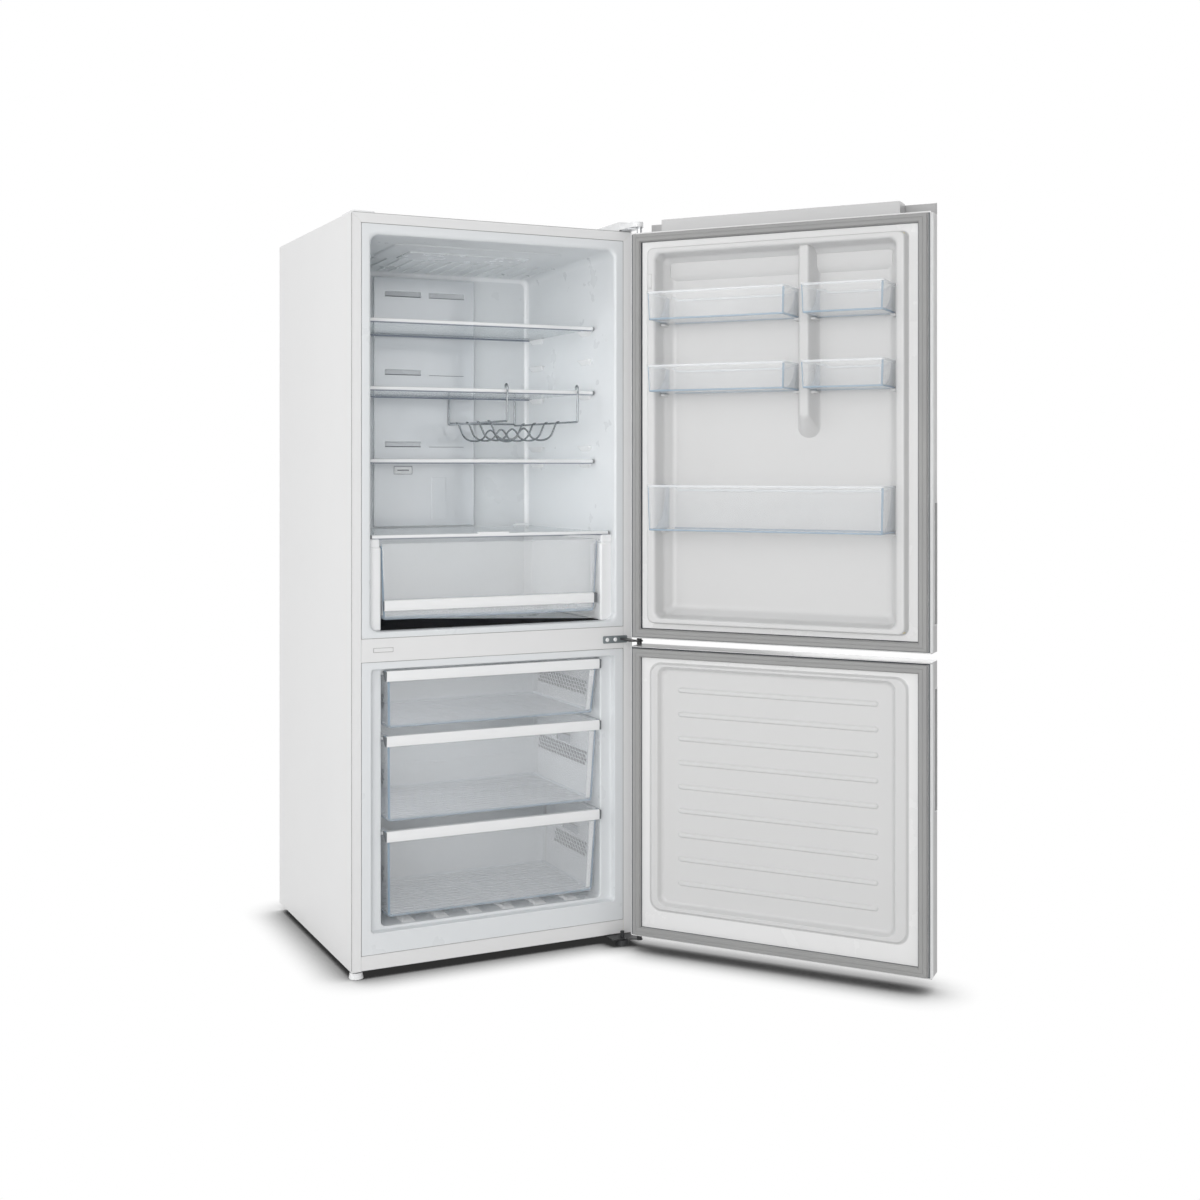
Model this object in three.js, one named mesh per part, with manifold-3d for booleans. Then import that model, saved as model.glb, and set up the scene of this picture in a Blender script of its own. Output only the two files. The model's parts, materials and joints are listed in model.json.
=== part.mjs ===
// A bottom freezer refrigerator with both doors open, in millimetres, +Z up.
//
// Everything is laid out in the cabinet's own frame: x = 0 is the middle of the cabinet, y = 0 is
// the face of its front flange with +y to the back, and z = 0 is the floor. The doors and their
// bins are laid out closed and then turned about the hinge line. At the end the whole model is
// moved so that its origin is the middle of its bounding box on the floor.

import * as THREE from 'three';
import { mergeVertices } from 'three/addons/utils/BufferGeometryUtils.js';
import Module from 'manifold-3d';

const wasm = await Module();
wasm.setup();

// ---------------------------------------------------------------------------------------------
// Driving sizes
// ---------------------------------------------------------------------------------------------

const seatGap = 0.3; // between pieces that rest on or against each other

const cabinet = {
  width: 750,
  depth: 641,
  top: 1818, // top panel above the floor
  underside: 20, // lower edge of the side panels above the floor
  sheet: 0.8,
  flange: 24, // front flange of the side and top panels
  backLip: 12,
};
const halfWidth = cabinet.width / 2;
const insideHalfWidth = halfWidth - cabinet.sheet - seatGap;

const machineRoom = {
  depth: 230,
  height: 290,
  slope: 30, // how far its front wall leans back
  plate: 1.2,
  coverWall: 2,
};

const linerWall = 2;
const lip = { round: 12, face: 0.6 };

// The strip between the compartments; both openings and both doors are placed from it.
const mullion = { bottom: 751, top: 806 };
const kick = { bottom: cabinet.underside + 1.5, top: 55 };

const fridge = {
  halfWidth: halfWidth - 49,
  backHalfWidth: halfWidth - 57,
  bottom: mullion.top + 16,
  top: cabinet.top - 50,
  backTop: cabinet.top - 68,
  back: cabinet.depth - 119,
  cornerRadius: 22,
};

const freezer = {
  openHalfWidth: halfWidth - 49,
  openBottom: kick.top + 51,
  openTop: mullion.bottom - 18,
  step: 20, // depth of the shallow recess in front of the drawers
  halfWidth: halfWidth - 81,
  bottom: kick.top + 59,
  top: mullion.bottom - 23,
  back: cabinet.depth - 141,
  humpDepth: cabinet.depth - 296, // where the hump over the machine room starts
  humpTop: machineRoom.height + 57,
  cornerRadius: 14,
};

const door = {
  openAngle: 128.4, // degrees, as both doors stand in the rest pose
  thickness: 69,
  gasketGap: 11.2, // from the flange to the door's inner face when closed
  sideInset: 1, // the door's edge inside the cabinet's side
  edgeRadius: 8,
  sheet: 0.8,
  linerWall: 2,
  capWall: 4,
  lipAbove: 28, // how far the upper door's face stands above its body, to hide the hinge
};
const doorHalfWidth = halfWidth - door.sideInset;
const doorInner = -door.gasketGap;
const doorOuter = doorInner - door.thickness;

const upperDoor = { bottom: mullion.top - 21, top: cabinet.top - 16 };
const lowerDoor = { bottom: cabinet.underside + 18.8, top: mullion.bottom + 13.5 };

const hinge = {
  inset: 6.5, // the hinge line inside the cabinet's side
  forward: 42, // and in front of the doors' inner face
  pinRadius: 3.2,
  pinClearance: 0.4,
  collarRadius: 6.5,
  boreDepth: 13,
  plate: 3,
  plateWidth: 70,
  armWidth: 28,
  armRadius: 8,
  coverHeight: 24,
  coverWidth: 90,
};
const hingeAxis = { x: halfWidth - hinge.inset, y: doorInner - hinge.forward };

const gasket = { width: 21, sideInset: 8, endInset: 4.5, lip: 4.5, neckInset: 3 };

const crisper = {
  front: 22,
  back: fridge.back - 92,
  halfWidth: fridge.halfWidth - 23,
  bottom: fridge.bottom + 24,
  height: 184,
  bandAbove: 22, // the band's foot above the tub's
  wall: 2.5,
  draft: 8,
  rim: 9,
  coverGap: 15, // from the tub's rim to its glass cover
  coverFront: 20,
  coverHeight: 9,
  coverDepth: 16,
};
crisper.top = crisper.bottom + crisper.height;
crisper.coverLevel = crisper.top + crisper.coverGap;

// The liner's walls are thicker beside the crisper, which runs between these cheeks.
const cheek = { halfWidth: crisper.halfWidth + 3, front: 20, back: fridge.back - 22, rail: 9 };

const shelf = {
  glass: 4,
  front: 106,
  back: fridge.back - 20,
  halfWidth: fridge.halfWidth - 10,
  trimHalfWidth: fridge.halfWidth - 5,
  trimDepth: 18,
  trimHeight: 13,
  ledge: 11, // how far a ledge stands out from the wall
  ledgeHeight: 9,
};
shelf.frontLedge = [shelf.front + shelf.trimDepth + 1, shelf.front + 90];
shelf.backLedge = [shelf.back - 94, shelf.back - 2];

// Shelf heights as shares of the space between the crisper's cover and the ceiling.
const shelfSpace = fridge.top - crisper.coverLevel;
const shelfLevel = (share) => crisper.coverLevel + share * shelfSpace;
shelf.levels = [0.733, 0.5007, 0.2531].map(shelfLevel);
shelf.spareLevels = [0.628, 0.3126].map(shelfLevel);

const band = { height: 26, wall: 3, depth: 24, fingerGap: 6 };

const evaporatorCover = { y: freezer.back - 100, wall: 3 };

const drawers = {
  halfWidth: freezer.halfWidth - 4,
  bodyHalfWidth: freezer.halfWidth - 13,
  front: 2,
  wall: 2.5,
  lean: 14, // how far the foot of the front stands behind its top
  draft: 5,
  rim: 3,
  footGap: 13, // from the top of one drawer to the foot of the next, and over the floor pads
};

// Drawer heights as shares of the bay.
const bayHeight = freezer.top - freezer.bottom;
const bayLevel = (share) => freezer.bottom + share * bayHeight;
drawers.levels = [
  { bottom: bayLevel(0.77), top: freezer.top - 1, back: evaporatorCover.y - 6 },
  { bottom: bayLevel(0.404), top: bayLevel(0.744), back: evaporatorCover.y - 6 },
  { bottom: bayLevel(0.031), top: bayLevel(0.373), back: freezer.humpDepth - 10 },
];

const dyke = {
  outerHalfWidth: fridge.halfWidth - 4.5,
  bottom: fridge.bottom + 4.5,
  top: fridge.top - 23,
  crest: cheek.front - 3, // reaches this far into the cabinet when the door is closed
  width: 30.5,
  floor: -48, // the recess behind the bins
  draft: 5,
  radius: 26,
};
dyke.innerHalfWidth = dyke.outerHalfWidth - dyke.width;
dyke.innerBottom = dyke.bottom + 21.5;
dyke.innerTop = dyke.top - 23;

const binGap = 1; // between a bin and the walls of the recess
const bins = {
  front: 92,
  wall: 2.5,
  draft: 5,
  radius: 16,
  left: -dyke.innerHalfWidth + binGap,
  right: dyke.innerHalfWidth - binGap,
};

// The divider on the door's liner, and where the bins on each side of it end. Heights on the
// door are shares of the recess.
const recessShare = (share) => share * (dyke.innerTop - dyke.innerBottom);
const rib = { middle: -76, halfWidth: 9, drop: recessShare(0.4805), crest: 8, flare: 4 };
bins.split = [rib.middle - rib.halfWidth - 9, rib.middle + rib.halfWidth + 9];
const binRow = (bottomShare, topShare) => ({
  bottom: dyke.innerTop - recessShare(bottomShare),
  top: dyke.innerTop - recessShare(topShare),
});
const topRow = binRow(0.1728, 0.0938);
const middleRow = binRow(0.3719, 0.2975);
const bottleRow = binRow(0.7574, 0.6304);
bins.rows = [
  { name: 'bin_top_wide', x0: bins.split[1], x1: bins.right, ...topRow },
  { name: 'bin_top_narrow', x0: bins.left, x1: bins.split[0], ...topRow },
  { name: 'bin_middle_wide', x0: bins.split[1], x1: bins.right, ...middleRow },
  { name: 'bin_middle_narrow', x0: bins.left, x1: bins.split[0], ...middleRow },
  { name: 'bin_bottle', x0: bins.left, x1: bins.right, ...bottleRow },
];
const lug = { width: 12, wallWidth: 3, overlap: 9, front: -6, height: 7 };

const lowerLiner = {
  frameHalfWidth: freezer.openHalfWidth - 4.5,
  frameBottom: freezer.openBottom - 30.2,
  frameTop: freezer.openTop - 5,
  frameRise: 6,
  frameWidth: 26,
  panelSink: 9,
  radius: 30,
  grooves: 9,
  grooveMargin: 67, // from the frame's top to the first groove
  grooveHalfHeight: 6,
  grooveRise: 2,
};
const grooveSpan = lowerLiner.frameTop - lowerLiner.frameBottom - 2.6 * lowerLiner.grooveMargin;
lowerLiner.groovePitch = grooveSpan / (lowerLiner.grooves - 1);
lowerLiner.grooveHalfLength = lowerLiner.frameHalfWidth - 75.5;

const grip = { length: 283, fromEnd: 64, width: 24, depth: 20, fromFace: 8, wall: 1.5 };

const rack = {
  width: 200,
  fromRight: 46, // its right frame inside the glass's edge
  front: shelf.front - 4.5,
  drop: 75, // its rails below the shelf
  wire: 2.2,
  loops: 4,
  firstLoop: 0.288 * (shelf.back - shelf.front), // behind the shelf's front
  loopPitch: 0.1894 * (shelf.back - shelf.front),
  dip: 47,
  rise: 26,
};

const duct = {
  halfWidth: fridge.halfWidth - 179,
  bottom: crisper.coverLevel + 7,
  top: fridge.backTop - 15,
  depth: 13,
  wall: 2.5,
};
duct.slotLevels = [0.9341, 0.6193, 0.3294].map((share) => duct.bottom + share * (duct.top - duct.bottom));
const slot = { inner: 12, outer: duct.halfWidth - 31, height: 14 };
const plate = { left: -88, width: 48, height: 16, share: 0.2138 };
const lamp = { halfWidth: 165, front: 170, back: 280, thickness: 6 };

const fan = {
  radius: 52,
  y: evaporatorCover.y + 14,
  z: freezer.top - 73,
  hub: 16,
  blades: 5,
  width: 16,
  shaftRadius: 3,
};
const coil = {
  halfWidth: freezer.halfWidth - 32,
  front: freezer.back - 64,
  back: freezer.back - 10,
  bottom: freezer.humpTop + 15,
  height: 220,
  fins: 14,
  fin: 5.5,
};
const compressor = {
  x: 150,
  y: cabinet.depth - machineRoom.coverWall - 109,
  radius: 78,
  height: 165,
  foot: 10,
};

const foot = {
  radius: 17,
  height: 14,
  stemRadius: 5,
  stemTop: 34,
  leftX: -halfWidth + 19,
  leftY: 24,
  rightX: halfWidth - 39,
  rightY: -22,
};
const roller = {
  radius: 18,
  width: 20,
  x: halfWidth - 23,
  y: cabinet.depth - 41,
  axle: 3.5,
  ear: 2,
  sides: 24,
};

// ---------------------------------------------------------------------------------------------
// Materials
// ---------------------------------------------------------------------------------------------

function finish(color, roughness, metalness, opacity = 1) {
  return new THREE.MeshStandardMaterial({ color, roughness, metalness, opacity, transparent: opacity < 1 });
}

const whiteSteel = finish(0xe4e5e6, 0.4, 0.2);
const linerPlastic = finish(0xd9dee2, 0.45, 0);
const doorPlastic = finish(0xe2e2e2, 0.45, 0);
const trimPlastic = finish(0xf0f1f2, 0.3, 0);
const clearPlastic = finish(0xcfdde8, 0.1, 0, 0.35);
const clearGlass = finish(0xc8d6dc, 0.05, 0, 0.35);
const chromeTrim = finish(0xd8dadc, 0.15, 0.9);
const gasketRubber = finish(0x9b9b9a, 0.8, 0);
const blackSteel = finish(0x1c1d1f, 0.45, 0.5);
const zincSteel = finish(0xa9adb0, 0.35, 0.8);
const wireSteel = finish(0x7d8488, 0.25, 0.9);
const blackPlastic = finish(0x202225, 0.6, 0);
const foam = finish(0xe9dfb8, 0.9, 0);
const finAluminium = finish(0xc0c4c6, 0.4, 0.8);
const ductPlastic = finish(0xc9ced3, 0.2, 0.3);

// ---------------------------------------------------------------------------------------------
// Solids
// ---------------------------------------------------------------------------------------------

// A closed three.js geometry as a solid that can be joined and cut.
function solidOf(geometry) {
  const bare = geometry.index ? geometry.toNonIndexed() : geometry.clone();
  for (const name of Object.keys(bare.attributes)) {
    if (name !== 'position') bare.deleteAttribute(name);
  }
  const welded = mergeVertices(bare, 1e-3);
  const data = {
    numProp: 3,
    vertProperties: new Float32Array(welded.attributes.position.array),
    triVerts: new Uint32Array(welded.index.array),
  };
  return new wasm.Manifold(new wasm.Mesh(data));
}

function geometryOf(solid) {
  const { vertProperties, triVerts } = solid.getMesh();
  const geometry = new THREE.BufferGeometry();
  geometry.setAttribute('position', new THREE.BufferAttribute(new Float32Array(vertProperties), 3));
  geometry.setIndex(Array.from(triVerts));
  geometry.computeVertexNormals();
  return geometry;
}

function join(first, ...rest) {
  return rest.reduce((whole, piece) => whole.add(piece), first);
}

function cut(first, ...rest) {
  return rest.reduce((whole, piece) => whole.subtract(piece), first);
}

// A block between two corners.
function block(x0, x1, y0, y1, z0, z1) {
  const geometry = new THREE.BoxGeometry(x1 - x0, y1 - y0, z1 - z0);
  geometry.translate((x0 + x1) / 2, (y0 + y1) / 2, (z0 + z1) / 2);
  return solidOf(geometry);
}

// Where the two directions of a flat outline and its extrusion lie for each extrusion axis.
const outlineBasis = {
  x: new THREE.Matrix4().makeBasis(
    new THREE.Vector3(0, 1, 0),
    new THREE.Vector3(0, 0, 1),
    new THREE.Vector3(1, 0, 0),
  ),
  y: new THREE.Matrix4().makeBasis(
    new THREE.Vector3(1, 0, 0),
    new THREE.Vector3(0, 0, 1),
    new THREE.Vector3(0, -1, 0),
  ),
  z: new THREE.Matrix4(),
};

// An outline drawn in (y, z), (x, z) or (x, y) and extruded along x, y or z between two places.
function extrude(shape, axis, from, to, curveSegments = 4) {
  const settings = { depth: to - from, bevelEnabled: false, curveSegments };
  const geometry = new THREE.ExtrudeGeometry(shape, settings);
  geometry.applyMatrix4(outlineBasis[axis]);
  if (axis === 'x') geometry.translate(from, 0, 0);
  if (axis === 'y') geometry.translate(0, to, 0);
  if (axis === 'z') geometry.translate(0, 0, from);
  return solidOf(geometry);
}

function polygon(points) {
  return new THREE.Shape(points.map(([u, v]) => new THREE.Vector2(u, v)));
}

function prism(points, axis, from, to) {
  return extrude(polygon(points), axis, from, to);
}

// A round bar along an axis, standing at two coordinates of the plane across it.
function bar(axis, u, v, radius, from, to, sides = 16, turn = 0) {
  const shape = new THREE.Shape();
  for (let i = 0; i < sides; i += 1) {
    const angle = turn + (2 * Math.PI * i) / sides;
    const point = [u + radius * Math.cos(angle), v + radius * Math.sin(angle)];
    if (i === 0) shape.moveTo(...point);
    else shape.lineTo(...point);
  }
  return extrude(shape, axis, from, to);
}

// The points of a rounded rectangle, anticlockwise, with the same count for every size.
function roundedRectangle(u0, u1, v0, v1, radius, steps = 4) {
  const corners = [
    [u1 - radius, v0 + radius, -90],
    [u1 - radius, v1 - radius, 0],
    [u0 + radius, v1 - radius, 90],
    [u0 + radius, v0 + radius, 180],
  ];
  const points = [];
  for (const [u, v, start] of corners) {
    for (let i = 0; i <= steps; i += 1) {
      const angle = ((start + (90 * i) / steps) * Math.PI) / 180;
      points.push([u + radius * Math.cos(angle), v + radius * Math.sin(angle)]);
    }
  }
  return points;
}

// A solid through rings of equal point counts, closed by flat convex ends.
function loft(rings) {
  const count = rings[0].length;
  const positions = rings.flat(2);
  const index = [];
  for (let r = 0; r + 1 < rings.length; r += 1) {
    for (let i = 0; i < count; i += 1) {
      const a = r * count + i;
      const b = r * count + ((i + 1) % count);
      index.push(a, b, b + count, a, b + count, a + count);
    }
  }
  const last = (rings.length - 1) * count;
  for (let i = 1; i + 1 < count; i += 1) {
    index.push(0, i + 1, i, last, last + i, last + i + 1);
  }
  const geometry = new THREE.BufferGeometry();
  geometry.setAttribute('position', new THREE.Float32BufferAttribute(positions, 3));
  geometry.setIndex(index);
  return solidOf(geometry);
}

// Rounded rectangles in x and z, set at growing depths y.
function loftInDepth(sections) {
  return loft(
    sections.map(({ y, x0, x1, z0, z1, radius }) =>
      // reversed, so that the sides face outwards when y grows
      roundedRectangle(x0, x1, z0, z1, radius)
        .reverse()
        .map(([x, z]) => [x, y, z]),
    ),
  );
}

// Rounded rectangles in x and y, set at growing heights z.
function loftInHeight(sections) {
  return loft(
    sections.map(({ z, x0, x1, y0, y1, radius }) =>
      roundedRectangle(x0, x1, y0, y1, radius).map(([x, y]) => [x, y, z]),
    ),
  );
}

// The same sections, grown outwards on every side.
function grow(sections, by) {
  return sections.map((s) => {
    const grown = { ...s, x0: s.x0 - by, x1: s.x1 + by, radius: s.radius + by };
    if (s.z0 !== undefined) return { ...grown, z0: s.z0 - by, z1: s.z1 + by };
    return { ...grown, y0: s.y0 - by, y1: s.y1 + by };
  });
}

// A path with every inner corner rounded off.
function roundedPath(corners, radius, steps = 3) {
  const places = corners.map((corner) => new THREE.Vector3(...corner));
  const path = [places[0]];
  for (let i = 1; i + 1 < places.length; i += 1) {
    const towards = (other) => other.clone().sub(places[i]).setLength(radius).add(places[i]);
    const [start, end] = [towards(places[i - 1]), towards(places[i + 1])];
    const curve = new THREE.QuadraticBezierCurve3(start, places[i], end);
    path.push(...curve.getPoints(steps));
  }
  path.push(places[places.length - 1]);
  return path;
}

// A wire along a path that lies in the plane across `normal`, mitred at every bend.
function wireAlong(path, radius, normal, sides = 6) {
  const rings = path.map((place, i) => {
    const before = place.clone().sub(path[Math.max(i - 1, 0)]).normalize();
    const after = path[Math.min(i + 1, path.length - 1)].clone().sub(place).normalize();
    const along = before.clone().add(after).normalize();
    const half = before.lengthSq() * after.lengthSq() > 0.5 ? along.dot(after) : 1;
    const across = along.clone().cross(normal).divideScalar(half);
    const ring = [];
    for (let k = 0; k < sides; k += 1) {
      const angle = (2 * Math.PI * k) / sides;
      const point = place.clone();
      point.addScaledVector(normal, radius * Math.cos(angle));
      point.addScaledVector(across, radius * Math.sin(angle));
      ring.push(point.toArray());
    }
    return ring;
  });
  return loft(rings);
}

const root = new THREE.Group();

function place(group, name, solid, material) {
  const mesh = new THREE.Mesh(geometryOf(solid), material);
  mesh.name = name;
  group.add(mesh);
}

// ---------------------------------------------------------------------------------------------
// Cabinet case
// ---------------------------------------------------------------------------------------------

// A side panel: a sheet with a front flange, mitred at the top, and a narrow lip at the back.
function sidePanel(side) {
  const { width, depth, top, underside, sheet, flange, backLip } = cabinet;
  const outer = width / 2;
  const profile = [
    [outer, 0],
    [outer, depth],
    [outer - backLip, depth],
    [outer - backLip, depth - sheet],
    [outer - sheet, depth - sheet],
    [outer - sheet, sheet],
    [outer - flange, sheet],
    [outer - flange, 0],
  ];
  const panel = prism(profile, 'z', underside, top);
  const mitre = prism(
    [
      [outer - sheet, top + 1],
      [outer - sheet, top - sheet],
      [outer - flange - 1, top - flange - 1],
      [outer - flange - 1, top + 1],
    ],
    'y',
    -1,
    sheet + 1,
  );
  const lipCut = block(outer - backLip - 1, outer - sheet, depth - sheet - 1, depth + 1, top - 2, top + 1);
  const right = cut(panel, mitre, lipCut);
  return side > 0 ? right : right.mirror([1, 0, 0]);
}

// The top panel: a sheet whose front flange meets those of the side panels at 45 degrees.
function topPanel() {
  const { depth, top, sheet, flange } = cabinet;
  const reach = insideHalfWidth;
  const plate = block(-reach, reach, 0, depth - sheet - seatGap, top - sheet, top);
  const front = prism(
    [
      [-reach, top],
      [-reach, top - sheet],
      [-reach + flange - sheet, top - flange],
      [reach - flange + sheet, top - flange],
      [reach, top - sheet],
      [reach, top],
    ],
    'y',
    0,
    sheet,
  );
  return join(plate, front);
}

function backPanel() {
  const { depth, top, sheet } = cabinet;
  const y1 = depth - sheet - seatGap;
  const z0 = machineRoom.height + 8;
  const panel = block(-insideHalfWidth, insideHalfWidth, y1 - sheet, y1, z0, top - sheet - seatGap);
  // two shallow upright beads stiffen the sheet
  const bead = (x) => block(x - 20, x + 20, y1 - sheet - 1.2, y1 - sheet, z0 + 52, top - 90);
  return join(panel, bead(-halfWidth / 2), bead(halfWidth / 2));
}

// The base: a floor plate, the sloping front wall of the machine room and its roof, with an
// axle and two ears for each rear roller and a hole for the left foot.
function basePan() {
  const { depth: room, height: top, slope, plate: wall, coverWall } = machineRoom;
  const z0 = cabinet.underside;
  const y1 = cabinet.depth - cabinet.sheet - coverWall - 2 * seatGap;
  const front = cabinet.depth - room;
  const walls = prism(
    [
      [front, z0],
      [front + slope, top - wall],
      [y1, top - wall],
      [y1, top],
      [front + slope - wall, top],
      [front - wall, z0],
    ],
    'x',
    -insideHalfWidth,
    insideHalfWidth,
  );
  const floorPlate = block(-insideHalfWidth, insideHalfWidth, 3, y1 - 8, z0, z0 + wall);
  const pieces = [];
  const holes = [bar('z', foot.leftX, foot.leftY, foot.stemRadius + seatGap, z0 - 1, z0 + 5)];
  for (const side of [-1, 1]) {
    const inner = side * (roller.x - roller.width / 2 - 1);
    const outer = side * (roller.x + roller.width / 2 + 1);
    const clear = roller.radius + 3;
    const [x0, x1] = side > 0 ? [inner, outer] : [outer, inner];
    holes.push(block(x0, x1, roller.y - clear, roller.y + clear, z0 - 1, z0 + 5));
    const earShape = [
      [roller.y - 9, roller.radius - 7],
      [roller.y + 9, roller.radius - 7],
      [roller.y + 14, z0 + 16],
      [roller.y - 14, z0 + 16],
    ];
    pieces.push(prism(earShape, 'x', x0 - roller.ear, x0));
    pieces.push(prism(earShape, 'x', x1, x1 + roller.ear));
    pieces.push(bar('x', roller.y, roller.radius, roller.axle, x0 - roller.ear, x1 + roller.ear, 12));
  }
  return join(cut(join(walls, floorPlate), ...holes), ...pieces);
}

function kickStrip() {
  const reach = halfWidth - cabinet.flange - seatGap;
  return block(-reach, reach, lip.face, lip.face + linerWall, kick.bottom, kick.top);
}

// The strip between the compartments, with the pill-shaped plug over the spare hinge holes.
function mullionStrip() {
  const reach = halfWidth - cabinet.flange - seatGap;
  const strip = block(-reach, reach, lip.face, lip.face + linerWall, mullion.bottom, mullion.top);
  const middle = (mullion.bottom + mullion.top) / 2;
  const pill = roundedRectangle(-reach + 31, -reach + 79, middle - 4, middle + 4.5, 4.2);
  return join(strip, extrude(polygon(pill), 'y', lip.face - 1.6, lip.face + 1));
}

// ---------------------------------------------------------------------------------------------
// Liners
// ---------------------------------------------------------------------------------------------

// Sections of an opening whose front edge is rounded over, on the face of the liner's wall or
// at a distance behind it.
function roundedMouth(opening, behind, steps = 3) {
  const radius = lip.round - behind;
  const sections = [];
  for (let i = 0; i <= steps; i += 1) {
    const angle = (Math.PI / 2) * (i / steps);
    const by = lip.round - radius * Math.sin(angle);
    const y = lip.face + lip.round - radius * Math.cos(angle);
    sections.push({ ...grow([opening], by)[0], y });
  }
  return sections;
}

// How far the fridge's side wall stands from the middle at a depth.
function fridgeWall(y) {
  const t = (y - lip.face - lip.round) / (fridge.back - lip.face - lip.round);
  return fridge.halfWidth + (fridge.backHalfWidth - fridge.halfWidth) * t;
}

function fridgeCeiling(y) {
  const t = (y - lip.face - lip.round) / (fridge.back - lip.face - lip.round);
  return fridge.top + (fridge.backTop - fridge.top) * t;
}

// A moulded ledge on a fridge wall, flat on top and drawn in towards its foot, that reaches in
// to one distance from the middle at its front end and another at its back end.
function ledge(side, [y0, y1], [inner0, inner1], topZ, height) {
  const ringAt = (stand, inset, z) => [
    [fridgeWall(y0) + 1, y0 + inset, z],
    [fridgeWall(y1) + 1, y1 - inset, z],
    [fridgeWall(y1) + (inner1 - fridgeWall(y1)) * stand, y1 - inset, z],
    [fridgeWall(y0) + (inner0 - fridgeWall(y0)) * stand, y0 + inset, z],
  ];
  const solid = loft([ringAt(0.1, 10, topZ - height), ringAt(1, 0, topZ - 3), ringAt(1, 0, topZ)]);
  return side > 0 ? solid : solid.mirror([1, 0, 0]);
}

const coverTrimFoot = crisper.coverLevel + shelf.glass / 2 - crisper.coverHeight / 2;

const fridgeMouth = {
  x0: -fridge.halfWidth,
  x1: fridge.halfWidth,
  z0: fridge.bottom,
  z1: fridge.top,
  radius: fridge.cornerRadius,
};
const fridgeBack = {
  y: fridge.back,
  x0: -fridge.backHalfWidth,
  x1: fridge.backHalfWidth,
  z0: fridge.bottom,
  z1: fridge.backTop,
  radius: fridge.cornerRadius,
};

// The fridge compartment's inside, or the same grown by a margin, from a depth to the back. The
// cheeks beside the crisper stand into it.
function fridgeSpace(by, from) {
  const mouth = roundedMouth(fridgeMouth, by);
  const back = grow([fridgeBack], by)[0];
  const space = loftInDepth([{ ...mouth[0], y: from }, ...mouth, { ...back, y: fridge.back + by }]);
  const inner = cheek.halfWidth + by;
  const y0 = cheek.front + by;
  const y1 = cheek.back - by;
  const z1 = coverTrimFoot - seatGap - by;
  const walls = [
    [-halfWidth, -inner],
    [inner, halfWidth],
  ].map(([x0, x1]) => block(x0, x1, y0, y1, 0, z1));
  return cut(space, ...walls);
}

function fridgeLiner() {
  const reach = halfWidth - cabinet.flange - seatGap;
  const top = cabinet.top - cabinet.flange - seatGap;
  const face = block(-reach, reach, lip.face, lip.face + linerWall, mullion.top + seatGap, top);
  const shell = cut(join(face, fridgeSpace(linerWall, lip.face)), fridgeSpace(0, lip.face - 1));
  const ledges = [];
  const shelfLedge = (side, range, level) => {
    const inner = range.map((y) => fridgeWall(y) - shelf.ledge);
    return ledge(side, range, inner, level - seatGap, shelf.ledgeHeight);
  };
  for (const side of [-1, 1]) {
    for (const level of [...shelf.levels, ...shelf.spareLevels]) {
      ledges.push(shelfLedge(side, shelf.frontLedge, level), shelfLedge(side, shelf.backLedge, level));
    }
    const across = (inner, outer) => (side > 0 ? [inner, outer] : [-outer, -inner]);
    const coverFoot = crisper.coverFront + crisper.coverDepth + 4;
    const coverSeat = crisper.coverLevel - seatGap;
    const [x0, x1] = across(cheek.halfWidth + 0.5, fridgeWall(cheek.back) + 0.5);
    ledges.push(block(x0, x1, coverFoot, cheek.back - 10, coverTrimFoot - 1, coverSeat));
    const [rail0, rail1] = across(cheek.halfWidth - cheek.rail, cheek.halfWidth + 1);
    const railSeat = crisper.top - crisper.wall - seatGap;
    ledges.push(block(rail0, rail1, cheek.front + 20, crisper.back + 10, railSeat - 6, railSeat));
  }
  return join(shell, ...ledges);
}

const freezerMouth = {
  x0: -freezer.openHalfWidth,
  x1: freezer.openHalfWidth,
  z0: freezer.openBottom,
  z1: freezer.openTop,
  radius: freezer.cornerRadius,
};

// The freezer's inside, or the same grown by a margin: a shallow wide mouth, the drawer bay, and
// the evaporator bay over the hump.
function freezerSpace(by, from) {
  const mouth = roundedMouth(freezerMouth, by);
  const step = grow([freezerMouth], by)[0];
  const wide = loftInDepth([{ ...mouth[0], y: from }, ...mouth, { ...step, y: freezer.step + by }]);
  const x = freezer.halfWidth + by;
  const bay = (y1, z0) => block(-x, x, freezer.step - 1, y1 + by, z0 - by, freezer.top + by);
  return join(wide, bay(freezer.humpDepth, freezer.bottom), bay(freezer.back, freezer.humpTop));
}

function freezerLiner() {
  const reach = halfWidth - cabinet.flange - seatGap;
  const z0 = kick.top + seatGap;
  const z1 = mullion.bottom - seatGap;
  const face = block(-reach, reach, lip.face, lip.face + linerWall, z0, z1);
  const shell = cut(join(face, freezerSpace(linerWall, lip.face)), freezerSpace(0, lip.face - 1));
  const extras = [];
  for (const { top, back } of drawers.levels) {
    const railTop = top - band.wall - drawers.rim - seatGap * 2;
    const inner = drawers.bodyHalfWidth + 2;
    for (const side of [-1, 1]) {
      const [x0, x1] = side > 0 ? [inner, freezer.halfWidth + 1] : [-freezer.halfWidth - 1, -inner];
      extras.push(block(x0, x1, freezer.step + 8, back - 4, railTop - 8, railTop));
    }
  }
  const pads = 6;
  const padPitch = (2 * freezer.halfWidth) / (pads + 0.7);
  for (let i = 0; i < pads; i += 1) {
    const x = (i - (pads - 1) / 2) * padPitch;
    const y1 = freezer.humpDepth - 15;
    extras.push(block(x - 17, x + 17, freezer.step + 20, y1, freezer.bottom - 1, freezer.bottom + 6));
  }
  return join(shell, ...extras);
}

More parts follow.
